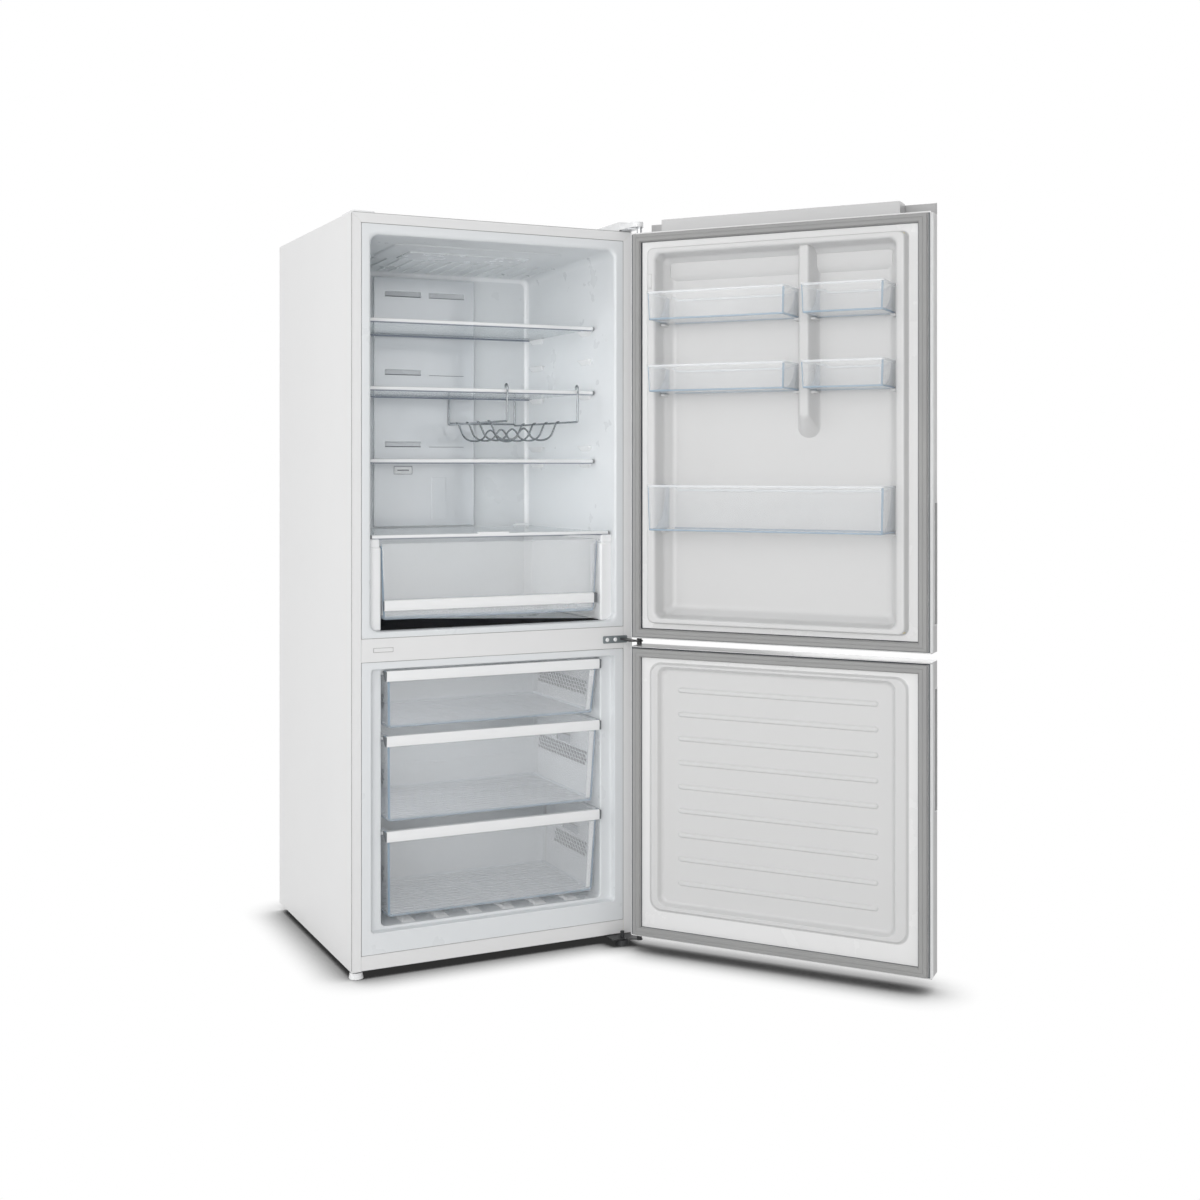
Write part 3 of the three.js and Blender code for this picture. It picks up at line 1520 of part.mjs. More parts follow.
const capBox = {
  left: -doorHalfWidth + 75,
  right: doorHalfWidth - 78,
  front: doorOuter + 6,
  back: doorInner - 12,
};

// The upper door's top cap also carries a long raised box, hollow from below.
function upperTopCap() {
  const z1 = upperDoor.top + door.lipAbove + 2;
  const { left, right, front, back } = capBox;
  const box = block(left, right, front, back, upperDoor.top - 1, z1);
  const wall = 2.5;
  const foot0 = upperDoor.top - door.capWall - 1;
  const hollow = block(left + wall, right - wall, front + wall, back - wall, foot0, z1 - wall);
  return cut(join(highCap(upperDoor), box), hollow);
}

function doorFoam(body, recess) {
  const x = doorHalfWidth - door.sheet - seatGap;
  const front = doorOuter + door.sheet + seatGap;
  const back = doorInner - door.linerWall - door.sheet - 2 * seatGap;
  const z0 = body.bottom + door.capWall + seatGap;
  const z1 = body.top - door.capWall - seatGap;
  const r = door.edgeRadius - door.sheet - seatGap;
  const fill = extrude(polygon(roundedRectangle(-x, x, front, back, r, 3)), 'z', z0, z1);
  const { x: hx, y: hy } = hingeAxis;
  const reach = 10 + seatGap;
  const bossSpace = (from, to) => block(hx - reach - 2, x + 1, hy - reach, hy + reach, from, to);
  const bossDepth = hinge.boreDepth + 3 + seatGap;
  const low = bossSpace(z0 - 1, body.bottom + bossDepth);
  const high = bossSpace(body.top - bossDepth, z1 + 1);
  return cut(fill, recess, low, high, gripPocket(body, grip.wall + seatGap, 5));
}

function lowerRecess(by) {
  const l = lowerLiner;
  const panel = grow([lowerFrame], -l.frameWidth + by)[0];
  return loftInDepth([
    { ...grow([panel], -4)[0], y: doorInner - l.panelSink - by },
    { ...panel, y: doorInner + 1 },
  ]);
}

// A door bin: an open box with drafted walls and rounded front corners, whose back is lower.
function doorBin({ x0, x1, bottom, top }) {
  const back = dyke.floor + seatGap + 1;
  const { front, wall, draft, radius } = bins;
  const section = (z, t, by) => ({
    z,
    x0: x0 + draft * (1 - t) - by,
    x1: x1 - draft * (1 - t) + by,
    y0: back - by,
    y1: front - draft * (1 - t) + by,
    radius: radius + by,
  });
  const outer = loftInHeight([section(bottom, 0, 0), section(top, 1, 0)]);
  const inner = loftInHeight([section(bottom + wall, 0, -wall), section(top + 1, 1, -wall)]);
  const backTop = bottom + (top - bottom) * 0.55;
  const backCut = block(x0 + 24, x1 - 24, back - 1, back + wall + 1, backTop, top + 1);
  return cut(outer, inner, backCut);
}

// ---------------------------------------------------------------------------------------------
// Assembly
// ---------------------------------------------------------------------------------------------

const body = new THREE.Group();
root.add(body);

place(body, 'side_panel_left', sidePanel(-1), whiteSteel);
place(body, 'side_panel_right', sidePanel(1), whiteSteel);
place(body, 'top_panel', topPanel(), whiteSteel);
place(body, 'back_panel', backPanel(), whiteSteel);
place(body, 'base_pan', basePan(), zincSteel);
place(body, 'kick_strip', kickStrip(), whiteSteel);
place(body, 'mullion_strip', mullionStrip(), whiteSteel);
place(body, 'fridge_liner', fridgeLiner(), linerPlastic);
place(body, 'freezer_liner', freezerLiner(), linerPlastic);
place(body, 'cabinet_foam', cabinetFoam(), foam);
place(body, 'duct_cover', ductCover(), ductPlastic);
place(body, 'lamp_cover', lampCover(), clearPlastic);
place(body, 'evaporator_cover', evaporatorCoverPanel(), linerPlastic);
place(body, 'evaporator', evaporatorCoil(), finAluminium);
place(body, 'evaporator_fan', fanWheel(), blackPlastic);
place(body, 'compressor', compressorBody(), blackSteel);
place(body, 'machine_cover', machineCover(), blackPlastic);
place(body, 'corner_cap', cornerCap(), trimPlastic);
place(body, 'top_hinge', topHinge(), zincSteel);
place(body, 'hinge_cover', hingeCover(), trimPlastic);
place(body, 'middle_hinge', middleHinge(), zincSteel);
place(body, 'bottom_hinge', bottomHinge(), blackSteel);
place(body, 'foot_left', levellingFoot(foot.leftX, foot.leftY), trimPlastic);
place(body, 'foot_right', levellingFoot(foot.rightX, foot.rightY), blackPlastic);
place(body, 'roller_left', rearRoller(-1), blackPlastic);
place(body, 'roller_right', rearRoller(1), blackPlastic);

shelf.levels.forEach((level, i) => {
  place(body, `shelf_${i + 1}_glass`, shelfGlass(level), clearGlass);
  const trim = closedTrim(level, shelf.front, shelf.trimDepth, shelf.trimHeight, shelf.trimHalfWidth);
  place(body, `shelf_${i + 1}_trim`, trim, chromeTrim);
});
place(body, 'crisper_cover_glass', crisperCoverGlass(), clearGlass);
place(body, 'crisper_cover_trim', crisperCoverTrim(), trimPlastic);
place(body, 'bottle_rack', bottleRack(), wireSteel);
place(body, 'crisper_tub', crisperTub(), clearPlastic);
place(body, 'crisper_band', crisperBand(), trimPlastic);

drawers.levels.forEach((level, i) => {
  place(body, `freezer_drawer_${i + 1}_tub`, freezerTub(level), clearPlastic);
  const strip = frontBand(level.top, drawers.front, drawers.halfWidth - 1);
  place(body, `freezer_drawer_${i + 1}_band`, strip, trimPlastic);
});

// A group that turns its contents, drawn closed, about the hinge line.
function doorGroup() {
  const swing = new THREE.Group();
  swing.position.set(hingeAxis.x, hingeAxis.y, 0);
  swing.rotation.z = THREE.MathUtils.degToRad(door.openAngle);
  const closed = new THREE.Group();
  closed.position.set(-hingeAxis.x, -hingeAxis.y, 0);
  swing.add(closed);
  root.add(swing);
  return closed;
}

const upper = doorGroup();
place(upper, 'fridge_door_skin', doorSkin(upperDoor), whiteSteel);
place(upper, 'fridge_door_liner', upperLiner(), doorPlastic);
place(upper, 'fridge_door_gasket', doorGasket(upperDoor), gasketRubber);
place(upper, 'fridge_door_top_cap', upperTopCap(), doorPlastic);
place(upper, 'fridge_door_bottom_cap', lowCap(upperDoor), doorPlastic);
place(upper, 'fridge_door_foam', doorFoam(upperDoor, upperRecess(door.linerWall + seatGap, 1)), foam);
for (const bin of bins.rows) place(upper, bin.name, doorBin(bin), clearPlastic);

const lower = doorGroup();
place(lower, 'freezer_door_skin', doorSkin(lowerDoor), whiteSteel);
place(lower, 'freezer_door_liner', freezerDoorLiner(), doorPlastic);
place(lower, 'freezer_door_gasket', doorGasket(lowerDoor), gasketRubber);
place(lower, 'freezer_door_top_cap', highCap(lowerDoor), doorPlastic);
place(lower, 'freezer_door_bottom_cap', lowCap(lowerDoor), doorPlastic);
place(lower, 'freezer_door_foam', doorFoam(lowerDoor, lowerRecess(door.linerWall + seatGap)), foam);

// The origin: the middle of the whole, doors open, on the floor.
root.updateMatrixWorld(true);
const bounds = new THREE.Box3().setFromObject(root, true);
root.position.set(-(bounds.min.x + bounds.max.x) / 2, -(bounds.min.y + bounds.max.y) / 2, 0);
root.updateMatrixWorld(true);

export default root;
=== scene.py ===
# %% [markdown]
# # A bottom freezer refrigerator, dressed
#
# The solid model of this fridge is already made: panels, liners, doors, shelves and drawers, with
# joints between them. This lesson loads it as a fixed frame and gives each visible piece the shape
# and finish of the real one. Every length in Blender is in metres.

# %% Load the frame
import json
import math

import bmesh
import bpy
from mathutils import Matrix, Vector


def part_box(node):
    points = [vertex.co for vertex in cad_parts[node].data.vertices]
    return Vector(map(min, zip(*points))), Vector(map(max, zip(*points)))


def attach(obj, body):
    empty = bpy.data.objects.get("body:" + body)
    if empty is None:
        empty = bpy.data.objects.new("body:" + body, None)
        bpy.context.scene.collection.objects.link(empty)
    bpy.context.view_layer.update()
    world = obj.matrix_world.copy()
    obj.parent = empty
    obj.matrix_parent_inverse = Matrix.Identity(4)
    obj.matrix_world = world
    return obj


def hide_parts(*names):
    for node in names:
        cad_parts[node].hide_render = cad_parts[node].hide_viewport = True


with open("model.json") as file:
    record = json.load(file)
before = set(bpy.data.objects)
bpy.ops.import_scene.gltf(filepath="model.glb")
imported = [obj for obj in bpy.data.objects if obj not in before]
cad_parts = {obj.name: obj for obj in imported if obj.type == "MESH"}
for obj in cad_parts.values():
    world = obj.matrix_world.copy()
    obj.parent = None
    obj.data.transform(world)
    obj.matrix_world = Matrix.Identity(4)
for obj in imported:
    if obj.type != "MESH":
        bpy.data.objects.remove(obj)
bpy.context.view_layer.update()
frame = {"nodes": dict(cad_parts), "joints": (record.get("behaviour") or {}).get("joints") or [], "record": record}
nodes = frame["nodes"]
print("pieces in the frame:", len(nodes))

# %% [markdown]
# ## Working from the cabinet
#
# The frame's origin is the middle of the whole model with its doors open, which is an awkward
# place to measure from. A refrigerator maker measures from the cabinet: across from its middle,
# back from its front flange and up from the floor. A small function turns such a place into the
# frame's own metres.

# %% Measure from the cabinet
MM = 0.001
HALF_WIDTH = 375
side_corner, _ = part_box("side_panel_left")
ORIGIN = Vector((side_corner.x + HALF_WIDTH * MM, side_corner.y, 0.0))


def at(x, y, z):
    """A place measured from the cabinet in millimetres, in the frame's metres."""
    return ORIGIN + Vector((x, y, z)) * MM


hinge_joint = next(j for j in frame["joints"] if j["name"] == "fridge_door_hinge")
HINGE_LINE = Vector((hinge_joint["pos_m"][0], hinge_joint["pos_m"][1], 0.0))
OPEN_ANGLE = math.radians(-hinge_joint["range_deg"][0])
DOOR_TURN = (
    Matrix.Translation(HINGE_LINE)
    @ Matrix.Rotation(OPEN_ANGLE, 4, "Z")
    @ Matrix.Translation(-HINGE_LINE)
)
print("cabinet's middle at", tuple(round(v, 4) for v in ORIGIN))
print("doors open by", round(math.degrees(OPEN_ANGLE), 1), "degrees")

# %% [markdown]
# ## The camera
#
# The picture was taken from the front left, at about two thirds of the fridge's height, with the
# camera held level and the frame shifted so that upright edges stay upright. A level camera with a
# shifted frame is how a photographer of furniture avoids leaning verticals.

# %% Set up the camera
PICTURE = 1200
FOCAL_PIXELS = 1506.9
OPTICAL_AXIS = (544.3, 468.2)
CAMERA_PLACE = (-1469.8, -3412.1, 1211.6)
CAMERA_YAW = 25.08
FARTHEST_VIEW = 60
CLEAR_LAYERS = 32

camera_data = bpy.data.cameras.new("photo_camera")
camera = bpy.data.objects.new("photo_camera", camera_data)
bpy.context.scene.collection.objects.link(camera)
camera.location = at(*CAMERA_PLACE)
camera.rotation_euler = (math.pi / 2, 0.0, -math.radians(CAMERA_YAW))
camera_data.sensor_width = 36
camera_data.lens = FOCAL_PIXELS / PICTURE * camera_data.sensor_width
camera_data.shift_x = 0.5 - OPTICAL_AXIS[0] / PICTURE
camera_data.shift_y = OPTICAL_AXIS[1] / PICTURE - 0.5
camera_data.clip_end = FARTHEST_VIEW
bpy.context.scene.camera = camera
bpy.context.scene.view_settings.view_transform = "Standard"
bpy.context.scene.cycles.transparent_max_bounces = CLEAR_LAYERS
print("lens", round(camera_data.lens, 1), "mm")

# %% [markdown]
# ## Small tools for materials
#
# Every finish below is a Principled surface with a few nodes in front of it. Each node could be
# placed by hand in the shader editor. These helpers only save typing: they set values on a node,
# make a material, add a node or a group, and join sockets.


# %% Material helpers
def set_inputs(node, values):
    """Values on a node's inputs, by socket name with spaces as underscores."""
    for key, value in values.items():
        node.inputs[key.replace("_", " ")].default_value = value
    return node


def shader_of(material):
    return material.node_tree.nodes["Principled BSDF"]


def new_material(name, **values):
    """A Principled material with plain values set on the shader's own sockets."""
    material = bpy.data.materials.new(name)
    material.use_nodes = True
    set_inputs(shader_of(material), values)
    return material


def add_node(tree, kind, **values):
    return set_inputs(tree.nodes.new(kind), values)


def add_group(tree, group, **values):
    """A shared node group placed in a material's tree with its own values."""
    node = tree.nodes.new("ShaderNodeGroup")
    node.node_tree = group
    return set_inputs(node, values)


def link_all(tree, *links):
    """Join sockets in a node tree: each link is (node, output, node, input)."""
    for source, out_name, target, in_name in links:
        tree.links.new(source.outputs[out_name], target.inputs[in_name])


def new_group(name, inputs, outputs):
    """A node group with named sockets: inputs and outputs map a name to (type, default)."""
    group = bpy.data.node_groups.new(name, "ShaderNodeTree")
    for label, (kind, default) in inputs.items():
        socket = group.interface.new_socket(label, in_out="INPUT", socket_type=kind)
        socket.default_value = default
    for label, kind in outputs.items():
        group.interface.new_socket(label, in_out="OUTPUT", socket_type=kind)
    entry = group.nodes.new("NodeGroupInput")
    leave = group.nodes.new("NodeGroupOutput")
    return group, entry, leave


print("material helpers ready")

# %% [markdown]
# ## Shared surface effects
#
# Three effects come back on most of the fridge's surfaces, so each is a node group. Sheet and
# moulded plastic are never one flat tone: batches, light ageing and handling leave a soft drift.
# Their gloss drifts as well. And both have a fine skin: orange peel in sprayed paint, the faint
# ripple of vacuum-formed plastic. All three read the object's own coordinates, so they stay put
# on the piece when a door swings.

# %% Tone drift
FLOAT = "NodeSocketFloat"
COLOR = "NodeSocketColor"
NOISE_LOW = 0.3
NOISE_HIGH = 0.7


def soft_noise(group, detail):
    """A noise that reads the object's own coordinates."""
    place = group.nodes.new("ShaderNodeTexCoord")
    noise = add_node(group, "ShaderNodeTexNoise", Detail=detail)
    group.links.new(place.outputs["Object"], noise.inputs["Vector"])
    return noise


def stretched(group, noise):
    """The middle of a noise, stretched to run from 0 to 1."""
    reach_all = add_node(group, "ShaderNodeMapRange", From_Min=NOISE_LOW, From_Max=NOISE_HIGH)
    group.links.new(noise.outputs["Fac"], reach_all.inputs["Value"])
    return reach_all


tone_drift, drift_in, drift_out = new_group(
    "tone_drift",
    {"Base": (COLOR, (1, 1, 1, 1)), "Shade": (COLOR, (0.9, 0.9, 0.9, 1)), "Scale": (FLOAT, 3.0)},
    {"Color": COLOR},
)
drift_noise = soft_noise(tone_drift, 3.0)
drift_share = stretched(tone_drift, drift_noise)
drift_mix = tone_drift.nodes.new("ShaderNodeMix")
drift_mix.data_type = "RGBA"
link_all(
    tone_drift,
    (drift_in, "Scale", drift_noise, "Scale"),
    (drift_share, "Result", drift_mix, "Factor"),
    (drift_in, "Base", drift_mix, "A"),
    (drift_in, "Shade", drift_mix, "B"),
    (drift_mix, "Result", drift_out, "Color"),
)
print("effect:", tone_drift.name)

# %% Gloss drift
gloss_drift, gloss_in, gloss_out = new_group(
    "gloss_drift",
    {"Low": (FLOAT, 0.3), "High": (FLOAT, 0.4), "Scale": (FLOAT, 12.0)},
    {"Roughness": FLOAT},
)
gloss_noise = soft_noise(gloss_drift, 5.0)
gloss_share = stretched(gloss_drift, gloss_noise)
link_all(
    gloss_drift,
    (gloss_in, "Scale", gloss_noise, "Scale"),
    (gloss_in, "Low", gloss_share, "To Min"),
    (gloss_in, "High", gloss_share, "To Max"),
    (gloss_share, "Result", gloss_out, "Roughness"),
)
print("effect:", gloss_drift.name)

# %% Fine skin
fine_skin, skin_in, skin_out = new_group(
    "fine_skin",
    {"Grain": (FLOAT, 400.0), "Ripple": (FLOAT, 20.0), "Ripple Share": (FLOAT, 0.5)},
    {"Height": FLOAT},
)
skin_grain = soft_noise(fine_skin, 2.0)
skin_ripple = soft_noise(fine_skin, 1.0)
skin_mix = fine_skin.nodes.new("ShaderNodeMix")
link_all(
    fine_skin,
    (skin_in, "Grain", skin_grain, "Scale"),
    (skin_in, "Ripple", skin_ripple, "Scale"),
    (skin_in, "Ripple Share", skin_mix, "Factor"),
    (skin_grain, "Fac", skin_mix, "A"),
    (skin_ripple, "Fac", skin_mix, "B"),
    (skin_mix, "Result", skin_out, "Height"),
)
print("effect:", fine_skin.name)

# %% Opaque finishes from the three effects
RELIEF_DEPTH = 0.0004
GLOSS_TO_TONE = 4


def dress(material, base, shade, tone_scale, gloss, gloss_scale, grain, ripple, bump):
    """Tone, gloss and skin from the shared groups, joined to a material's own shader."""
    tree, shader = material.node_tree, shader_of(material)
    tone = add_group(tree, tone_drift, Base=(*base, 1), Shade=(*shade, 1), Scale=tone_scale)
    rough = add_group(tree, gloss_drift, Low=gloss[0], High=gloss[1], Scale=gloss_scale)
    skin = add_group(tree, fine_skin, Grain=grain, Ripple=ripple[0], Ripple_Share=ripple[1])
    relief = add_node(tree, "ShaderNodeBump", Strength=bump, Distance=RELIEF_DEPTH)
    link_all(
        tree,
        (tone, "Color", shader, "Base Color"),
        (rough, "Roughness", shader, "Roughness"),
        (skin, "Height", relief, "Height"),
        (relief, "Normal", shader, "Normal"),
    )
    return material


def opaque_finish(name, base, shade, gloss, grain, bump, drift=3.0, ripple=(20.0, 0.5), **values):
    """A closed surface. base and shade are its two tones, gloss its range of roughness."""
    material = new_material(name, **values)
    return dress(material, base, shade, drift, gloss, drift * GLOSS_TO_TONE, grain, ripple, bump)


print("opaque finishes can be made")

# %% [markdown]
# ## The finishes
#
# Nearly the whole fridge is white, and what tells its parts apart is how they shine. The outer
# sheet is sprayed steel with a satin gloss, duller and greyer on the doors. The inner liners are
# vacuum-formed plastic, smoother and a little bluer. Trims and bands are injection moulded and
# shine most. The gasket is soft grey rubber with no shine. One white for everything would be
# quicker, but the fridge would then look like a single block.

# %% White finishes
painted_steel = opaque_finish(
    "painted_steel", (0.80, 0.80, 0.80), (0.79, 0.79, 0.792), (0.32, 0.35), 600.0, 0.012,
    ripple=(60.0, 0.3), Coat_Weight=0.1, Coat_Roughness=0.25,
)
door_steel = opaque_finish(
    "door_steel", (0.50, 0.50, 0.50), (0.485, 0.485, 0.487), (0.30, 0.34), 600.0, 0.012,
    ripple=(60.0, 0.3), Specular_IOR_Level=0.15,
)
cap_plastic = opaque_finish(
    "cap_plastic", (0.58, 0.58, 0.58), (0.565, 0.565, 0.567), (0.28, 0.32), 400.0, 0.01,
)
liner_plastic = opaque_finish(
    "liner_plastic", (0.77, 0.79, 0.805), (0.762, 0.784, 0.80), (0.27, 0.30), 260.0, 0.006,
)
# Painted shade: a darker copy of the door liners' white, on all of their inner face but the flat border.
door_plastic_shaded = opaque_finish(
    "door_plastic_shaded", (0.66, 0.66, 0.658), (0.65, 0.65, 0.65), (0.28, 0.31), 260.0, 0.006,
)
# Painted light: a lighter copy of the same plastic, for the doors' flat borders.
door_border_lit = opaque_finish(
    "door_border_lit", (0.80, 0.80, 0.798), (0.79, 0.79, 0.79), (0.25, 0.28), 260.0, 0.006,
)
gloss_white = opaque_finish(
    "gloss_white", (0.88, 0.885, 0.89), (0.87, 0.877, 0.885), (0.12, 0.15), 500.0, 0.006,
)
# Painted highlight: a lighter, glossier white for the rounded back corner of the fridge's liner.
painted_corner_highlight = opaque_finish(
    "painted_corner_highlight", (0.92, 0.93, 0.94), (0.91, 0.922, 0.935), (0.10, 0.13), 200.0, 0.004,
)
duct_plastic = opaque_finish(
    "duct_plastic", (0.70, 0.72, 0.74), (0.68, 0.705, 0.73), (0.12, 0.16), 200.0, 0.006,
    Metallic=0.3,
)
# Painted shade: a slightly darker, duller copy of the duct plastic, for the walls and floors of the slots.
duct_slot_shade = opaque_finish(
    "duct_slot_shade", (0.68, 0.69, 0.71), (0.66, 0.675, 0.695), (0.25, 0.3), 200.0, 0.006,
)
print("white finishes:", len(bpy.data.materials))

# %% Rubber, black and grey finishes
gasket_rubber = opaque_finish(
    "gasket_rubber", (0.33, 0.33, 0.325), (0.31, 0.31, 0.31), (0.5, 0.65), 1400.0, 0.15,
)
black_paint = opaque_finish(
    "black_paint", (0.02, 0.02, 0.022), (0.03, 0.03, 0.032), (0.3, 0.45), 700.0, 0.1,
)
black_moulding = opaque_finish(
    "black_moulding", (0.025, 0.026, 0.028), (0.035, 0.036, 0.038), (0.5, 0.65), 900.0, 0.2,
)
# Painted shadow: near black for the sheet under the crisper.
painted_shadow_black = opaque_finish(
    "painted_shadow_black", (0.012, 0.012, 0.014), (0.02, 0.02, 0.023), (0.75, 0.85), 500.0, 0.05,
    Specular_IOR_Level=0.1,
)
# Grey moulding for caps and ends, and painted shade for the lines under the duct's slots and the creases beside
# the gaskets.
grey_moulding_and_shade = opaque_finish(
    "grey_moulding_and_shade", (0.16, 0.17, 0.18), (0.13, 0.14, 0.15), (0.3, 0.4), 500.0, 0.05,
)
# Painted shade: near black for the openings of the drawers' slots and for the creases beside the gaskets.
slot_shadow_dark = opaque_finish(
    "slot_shadow_dark", (0.03, 0.035, 0.045), (0.025, 0.03, 0.04), (0.5, 0.6), 500.0, 0.02,
)
slot_shade = opaque_finish(
    "slot_shade", (0.33, 0.35, 0.38), (0.30, 0.32, 0.35), (0.4, 0.5), 500.0, 0.02,
)
# Grey for the seams' dark joints, and painted shadow round the mullion's plug.
seam_and_shadow_grey = opaque_finish(
    "seam_and_shadow_grey", (0.46, 0.46, 0.46), (0.43, 0.43, 0.43), (0.6, 0.7), 500.0, 0.05,
)
# Painted shade: the grey of the thin lines along the panels' folded front edges.
fold_shade_grey = opaque_finish(
    "fold_shade_grey", (0.40, 0.40, 0.40), (0.37, 0.37, 0.37), (0.4, 0.5), 500.0, 0.03,
)
foam_core = opaque_finish(
    "foam_core", (0.78, 0.70, 0.48), (0.70, 0.62, 0.40), (0.8, 0.95), 500.0, 0.5,
)
print("white, black and grey finishes:", len(bpy.data.materials))

# %% Metal finishes
zinc_plate = opaque_finish(
    "zinc_plate", (0.60, 0.61, 0.62), (0.52, 0.53, 0.55), (0.25, 0.38), 300.0, 0.06,
    drift=40.0, Metallic=0.9,
)
hinge_plate = opaque_finish(
    "hinge_plate", (0.30, 0.33, 0.34), (0.22, 0.25, 0.26), (0.28, 0.36), 300.0, 0.05,
    Metallic=0.6,
)
chrome_wire = opaque_finish(
    "chrome_wire", (0.34, 0.36, 0.37), (0.28, 0.30, 0.32), (0.12, 0.2), 400.0, 0.02,
    drift=30.0, Metallic=1.0,
)
shelf_strip = opaque_finish(
    "shelf_strip", (0.90, 0.905, 0.91), (0.88, 0.89, 0.90), (0.12, 0.2), 400.0, 0.02,
    Metallic=0.15,
)
# Dark metal for the rear strips, and painted shade for the line under each shelf's front strip.
rear_strip_and_shade_line = opaque_finish(
    "rear_strip_and_shade_line", (0.27, 0.30, 0.36), (0.24, 0.27, 0.33), (0.14, 0.22), 400.0, 0.02,
    Metallic=0.5,
)
fin_aluminium = opaque_finish(
    "fin_aluminium", (0.6, 0.61, 0.62), (0.52, 0.53, 0.55), (0.3, 0.45), 500.0, 0.05,
    drift=20.0, Metallic=0.9,
)
copper_tube = opaque_finish(
    "copper_tube", (0.62, 0.33, 0.20), (0.48, 0.25, 0.16), (0.25, 0.4), 300.0, 0.05,
    drift=30.0, Metallic=1.0,
)
print("all opaque finishes:", len(bpy.data.materials))

# %% [markdown]
# ### Clear plastic and glass
#
# The bins and drawers are clear styrene, the shelves toughened glass. Light that goes through
# many thin walls is slow to trace, so these are see-through surfaces instead: nearly open where
# they face the eye and denser where they turn away, which is also where real clear walls shine.
# The edges of a bin gather the light of a whole wall and look blue, so they get a finish of
# their own.

# %% Clear finishes
CLEAR_TONE_SCALE = 14.0
CLEAR_GLOSS_SCALE = 30.0
CLEAR_RIPPLE = (25.0, 0.7)


def clear_finish(name, base, shade, densities, gloss, grain=300.0, bump=0.02):
    """A see-through surface. densities are its alpha face on and at its edges."""
    material = new_material(name, IOR=1.5, Specular_IOR_Level=0.9)
    tree = material.node_tree
    dress(
        material, base, shade, CLEAR_TONE_SCALE, gloss, CLEAR_GLOSS_SCALE, grain, CLEAR_RIPPLE, bump
    )
    facing = add_node(tree, "ShaderNodeLayerWeight", Blend=0.25)
    density = add_node(tree, "ShaderNodeMapRange", To_Min=densities[0], To_Max=densities[1])
    link_all(
        tree,
        (facing, "Facing", density, "Value"),
        (density, "Result", shader_of(material), "Alpha"),
    )
    return material


clear_bin = clear_finish(
    "clear_bin", (0.93, 0.94, 0.95), (0.90, 0.92, 0.94), (0.10, 0.50), (0.03, 0.08)
)
clear_drawer = clear_finish(
    "clear_drawer", (0.90, 0.92, 0.94), (0.87, 0.90, 0.925), (0.20, 0.45), (0.04, 0.08)
)
crisper_clear = clear_finish(
    "crisper_clear", (0.93, 0.945, 0.955), (0.90, 0.92, 0.935), (0.27, 0.50), (0.04, 0.08)
)
frosted_line = clear_finish(
    "frosted_line", (0.90, 0.92, 0.94), (0.86, 0.89, 0.92), (0.45, 0.80), (0.1, 0.2)
)
rib_line = clear_finish(
    "rib_line", (0.66, 0.70, 0.75), (0.62, 0.66, 0.71), (0.45, 0.80), (0.1, 0.2)
)
blue_edge = clear_finish(
    "blue_edge", (0.36, 0.48, 0.60), (0.31, 0.43, 0.55), (0.60, 0.85), (0.05, 0.1)
)
pale_blue_edge = clear_finish(
    "pale_blue_edge", (0.55, 0.66, 0.76), (0.50, 0.61, 0.72), (0.35, 0.65), (0.05, 0.1)
)
web_blue = clear_finish(
    "web_blue", (0.66, 0.72, 0.78), (0.62, 0.69, 0.76), (0.20, 0.55), (0.05, 0.1)
)
shelf_glass = clear_finish(
    "shelf_glass", (0.70, 0.77, 0.79), (0.66, 0.74, 0.77), (0.06, 0.60), (0.01, 0.03), 100.0, 0.01
)
lamp_lens = clear_finish(
    "lamp_lens", (0.86, 0.88, 0.90), (0.84, 0.86, 0.88), (0.85, 0.95), (0.2, 0.3), 300.0, 0.03
)
print("opaque and clear finishes:", len(bpy.data.materials))

# %% Put the finishes on the frame's own pieces
FINISH_OF_SLOT = {
    "white_steel": painted_steel,
    "cabinet_liner": liner_plastic,
    "door_liner": door_plastic_shaded,
    "duct_plastic": duct_plastic,
    "white_trim": gloss_white,
    "shelf_trim": shelf_strip,
    "clear_plastic": clear_bin,
    "lamp_lens": lamp_lens,
    "clear_glass": shelf_glass,
    "gasket_rubber": gasket_rubber,
    "zinc_steel": zinc_plate,
    "rack_wire": chrome_wire,
    "black_steel": black_paint,
    "black_plastic": black_moulding,
    "fin_aluminium": fin_aluminium,
    "foam": foam_core,
}


def paint(obj, material):
    """One material on every slot of an object."""
    if not obj.data.materials:
        obj.data.materials.append(material)
    for index in range(len(obj.data.materials)):
        obj.data.materials[index] = material


for entry in frame["record"]["subparts"]:
    paint(nodes[entry["node"]], FINISH_OF_SLOT[entry["material_slot"]])
for door in ("fridge_door", "freezer_door"):
    paint(nodes[f"{door}_skin"], door_steel)
    for cap in ("top_cap", "bottom_cap"):
        paint(nodes[f"{door}_{cap}"], cap_plastic)

# %% [markdown]
# ## Soft edges
#
# No pressed or moulded edge is razor sharp, and it is the thin bright line along an edge that
# makes a panel look real. The frame's own pieces keep their shape, but a bevel of under a
# millimetre, added as a modifier, rounds their edges.

# %% Round the frame's edges
SHEET_EDGE = 0.0003
DOOR_EDGE = 0.0004
THICK_EDGE = 0.0008
WELD_GAP = 0.00002


def soften(obj, width, smooth=False):
    """A small bevel on the sharp edges of one of the frame's pieces."""
    weld = obj.modifiers.new("weld", "WELD")
    weld.merge_threshold = WELD_GAP
    bevel = obj.modifiers.new("soft_edges", "BEVEL")
    bevel.width = width
    bevel.segments = 2
    bevel.limit_method = "ANGLE"
    bevel.angle_limit = math.radians(35)
    if smooth:
        even = obj.modifiers.new("even_shading", "WEIGHTED_NORMAL")
        even.weight = 100
    for face in obj.data.polygons:
        face.use_smooth = smooth


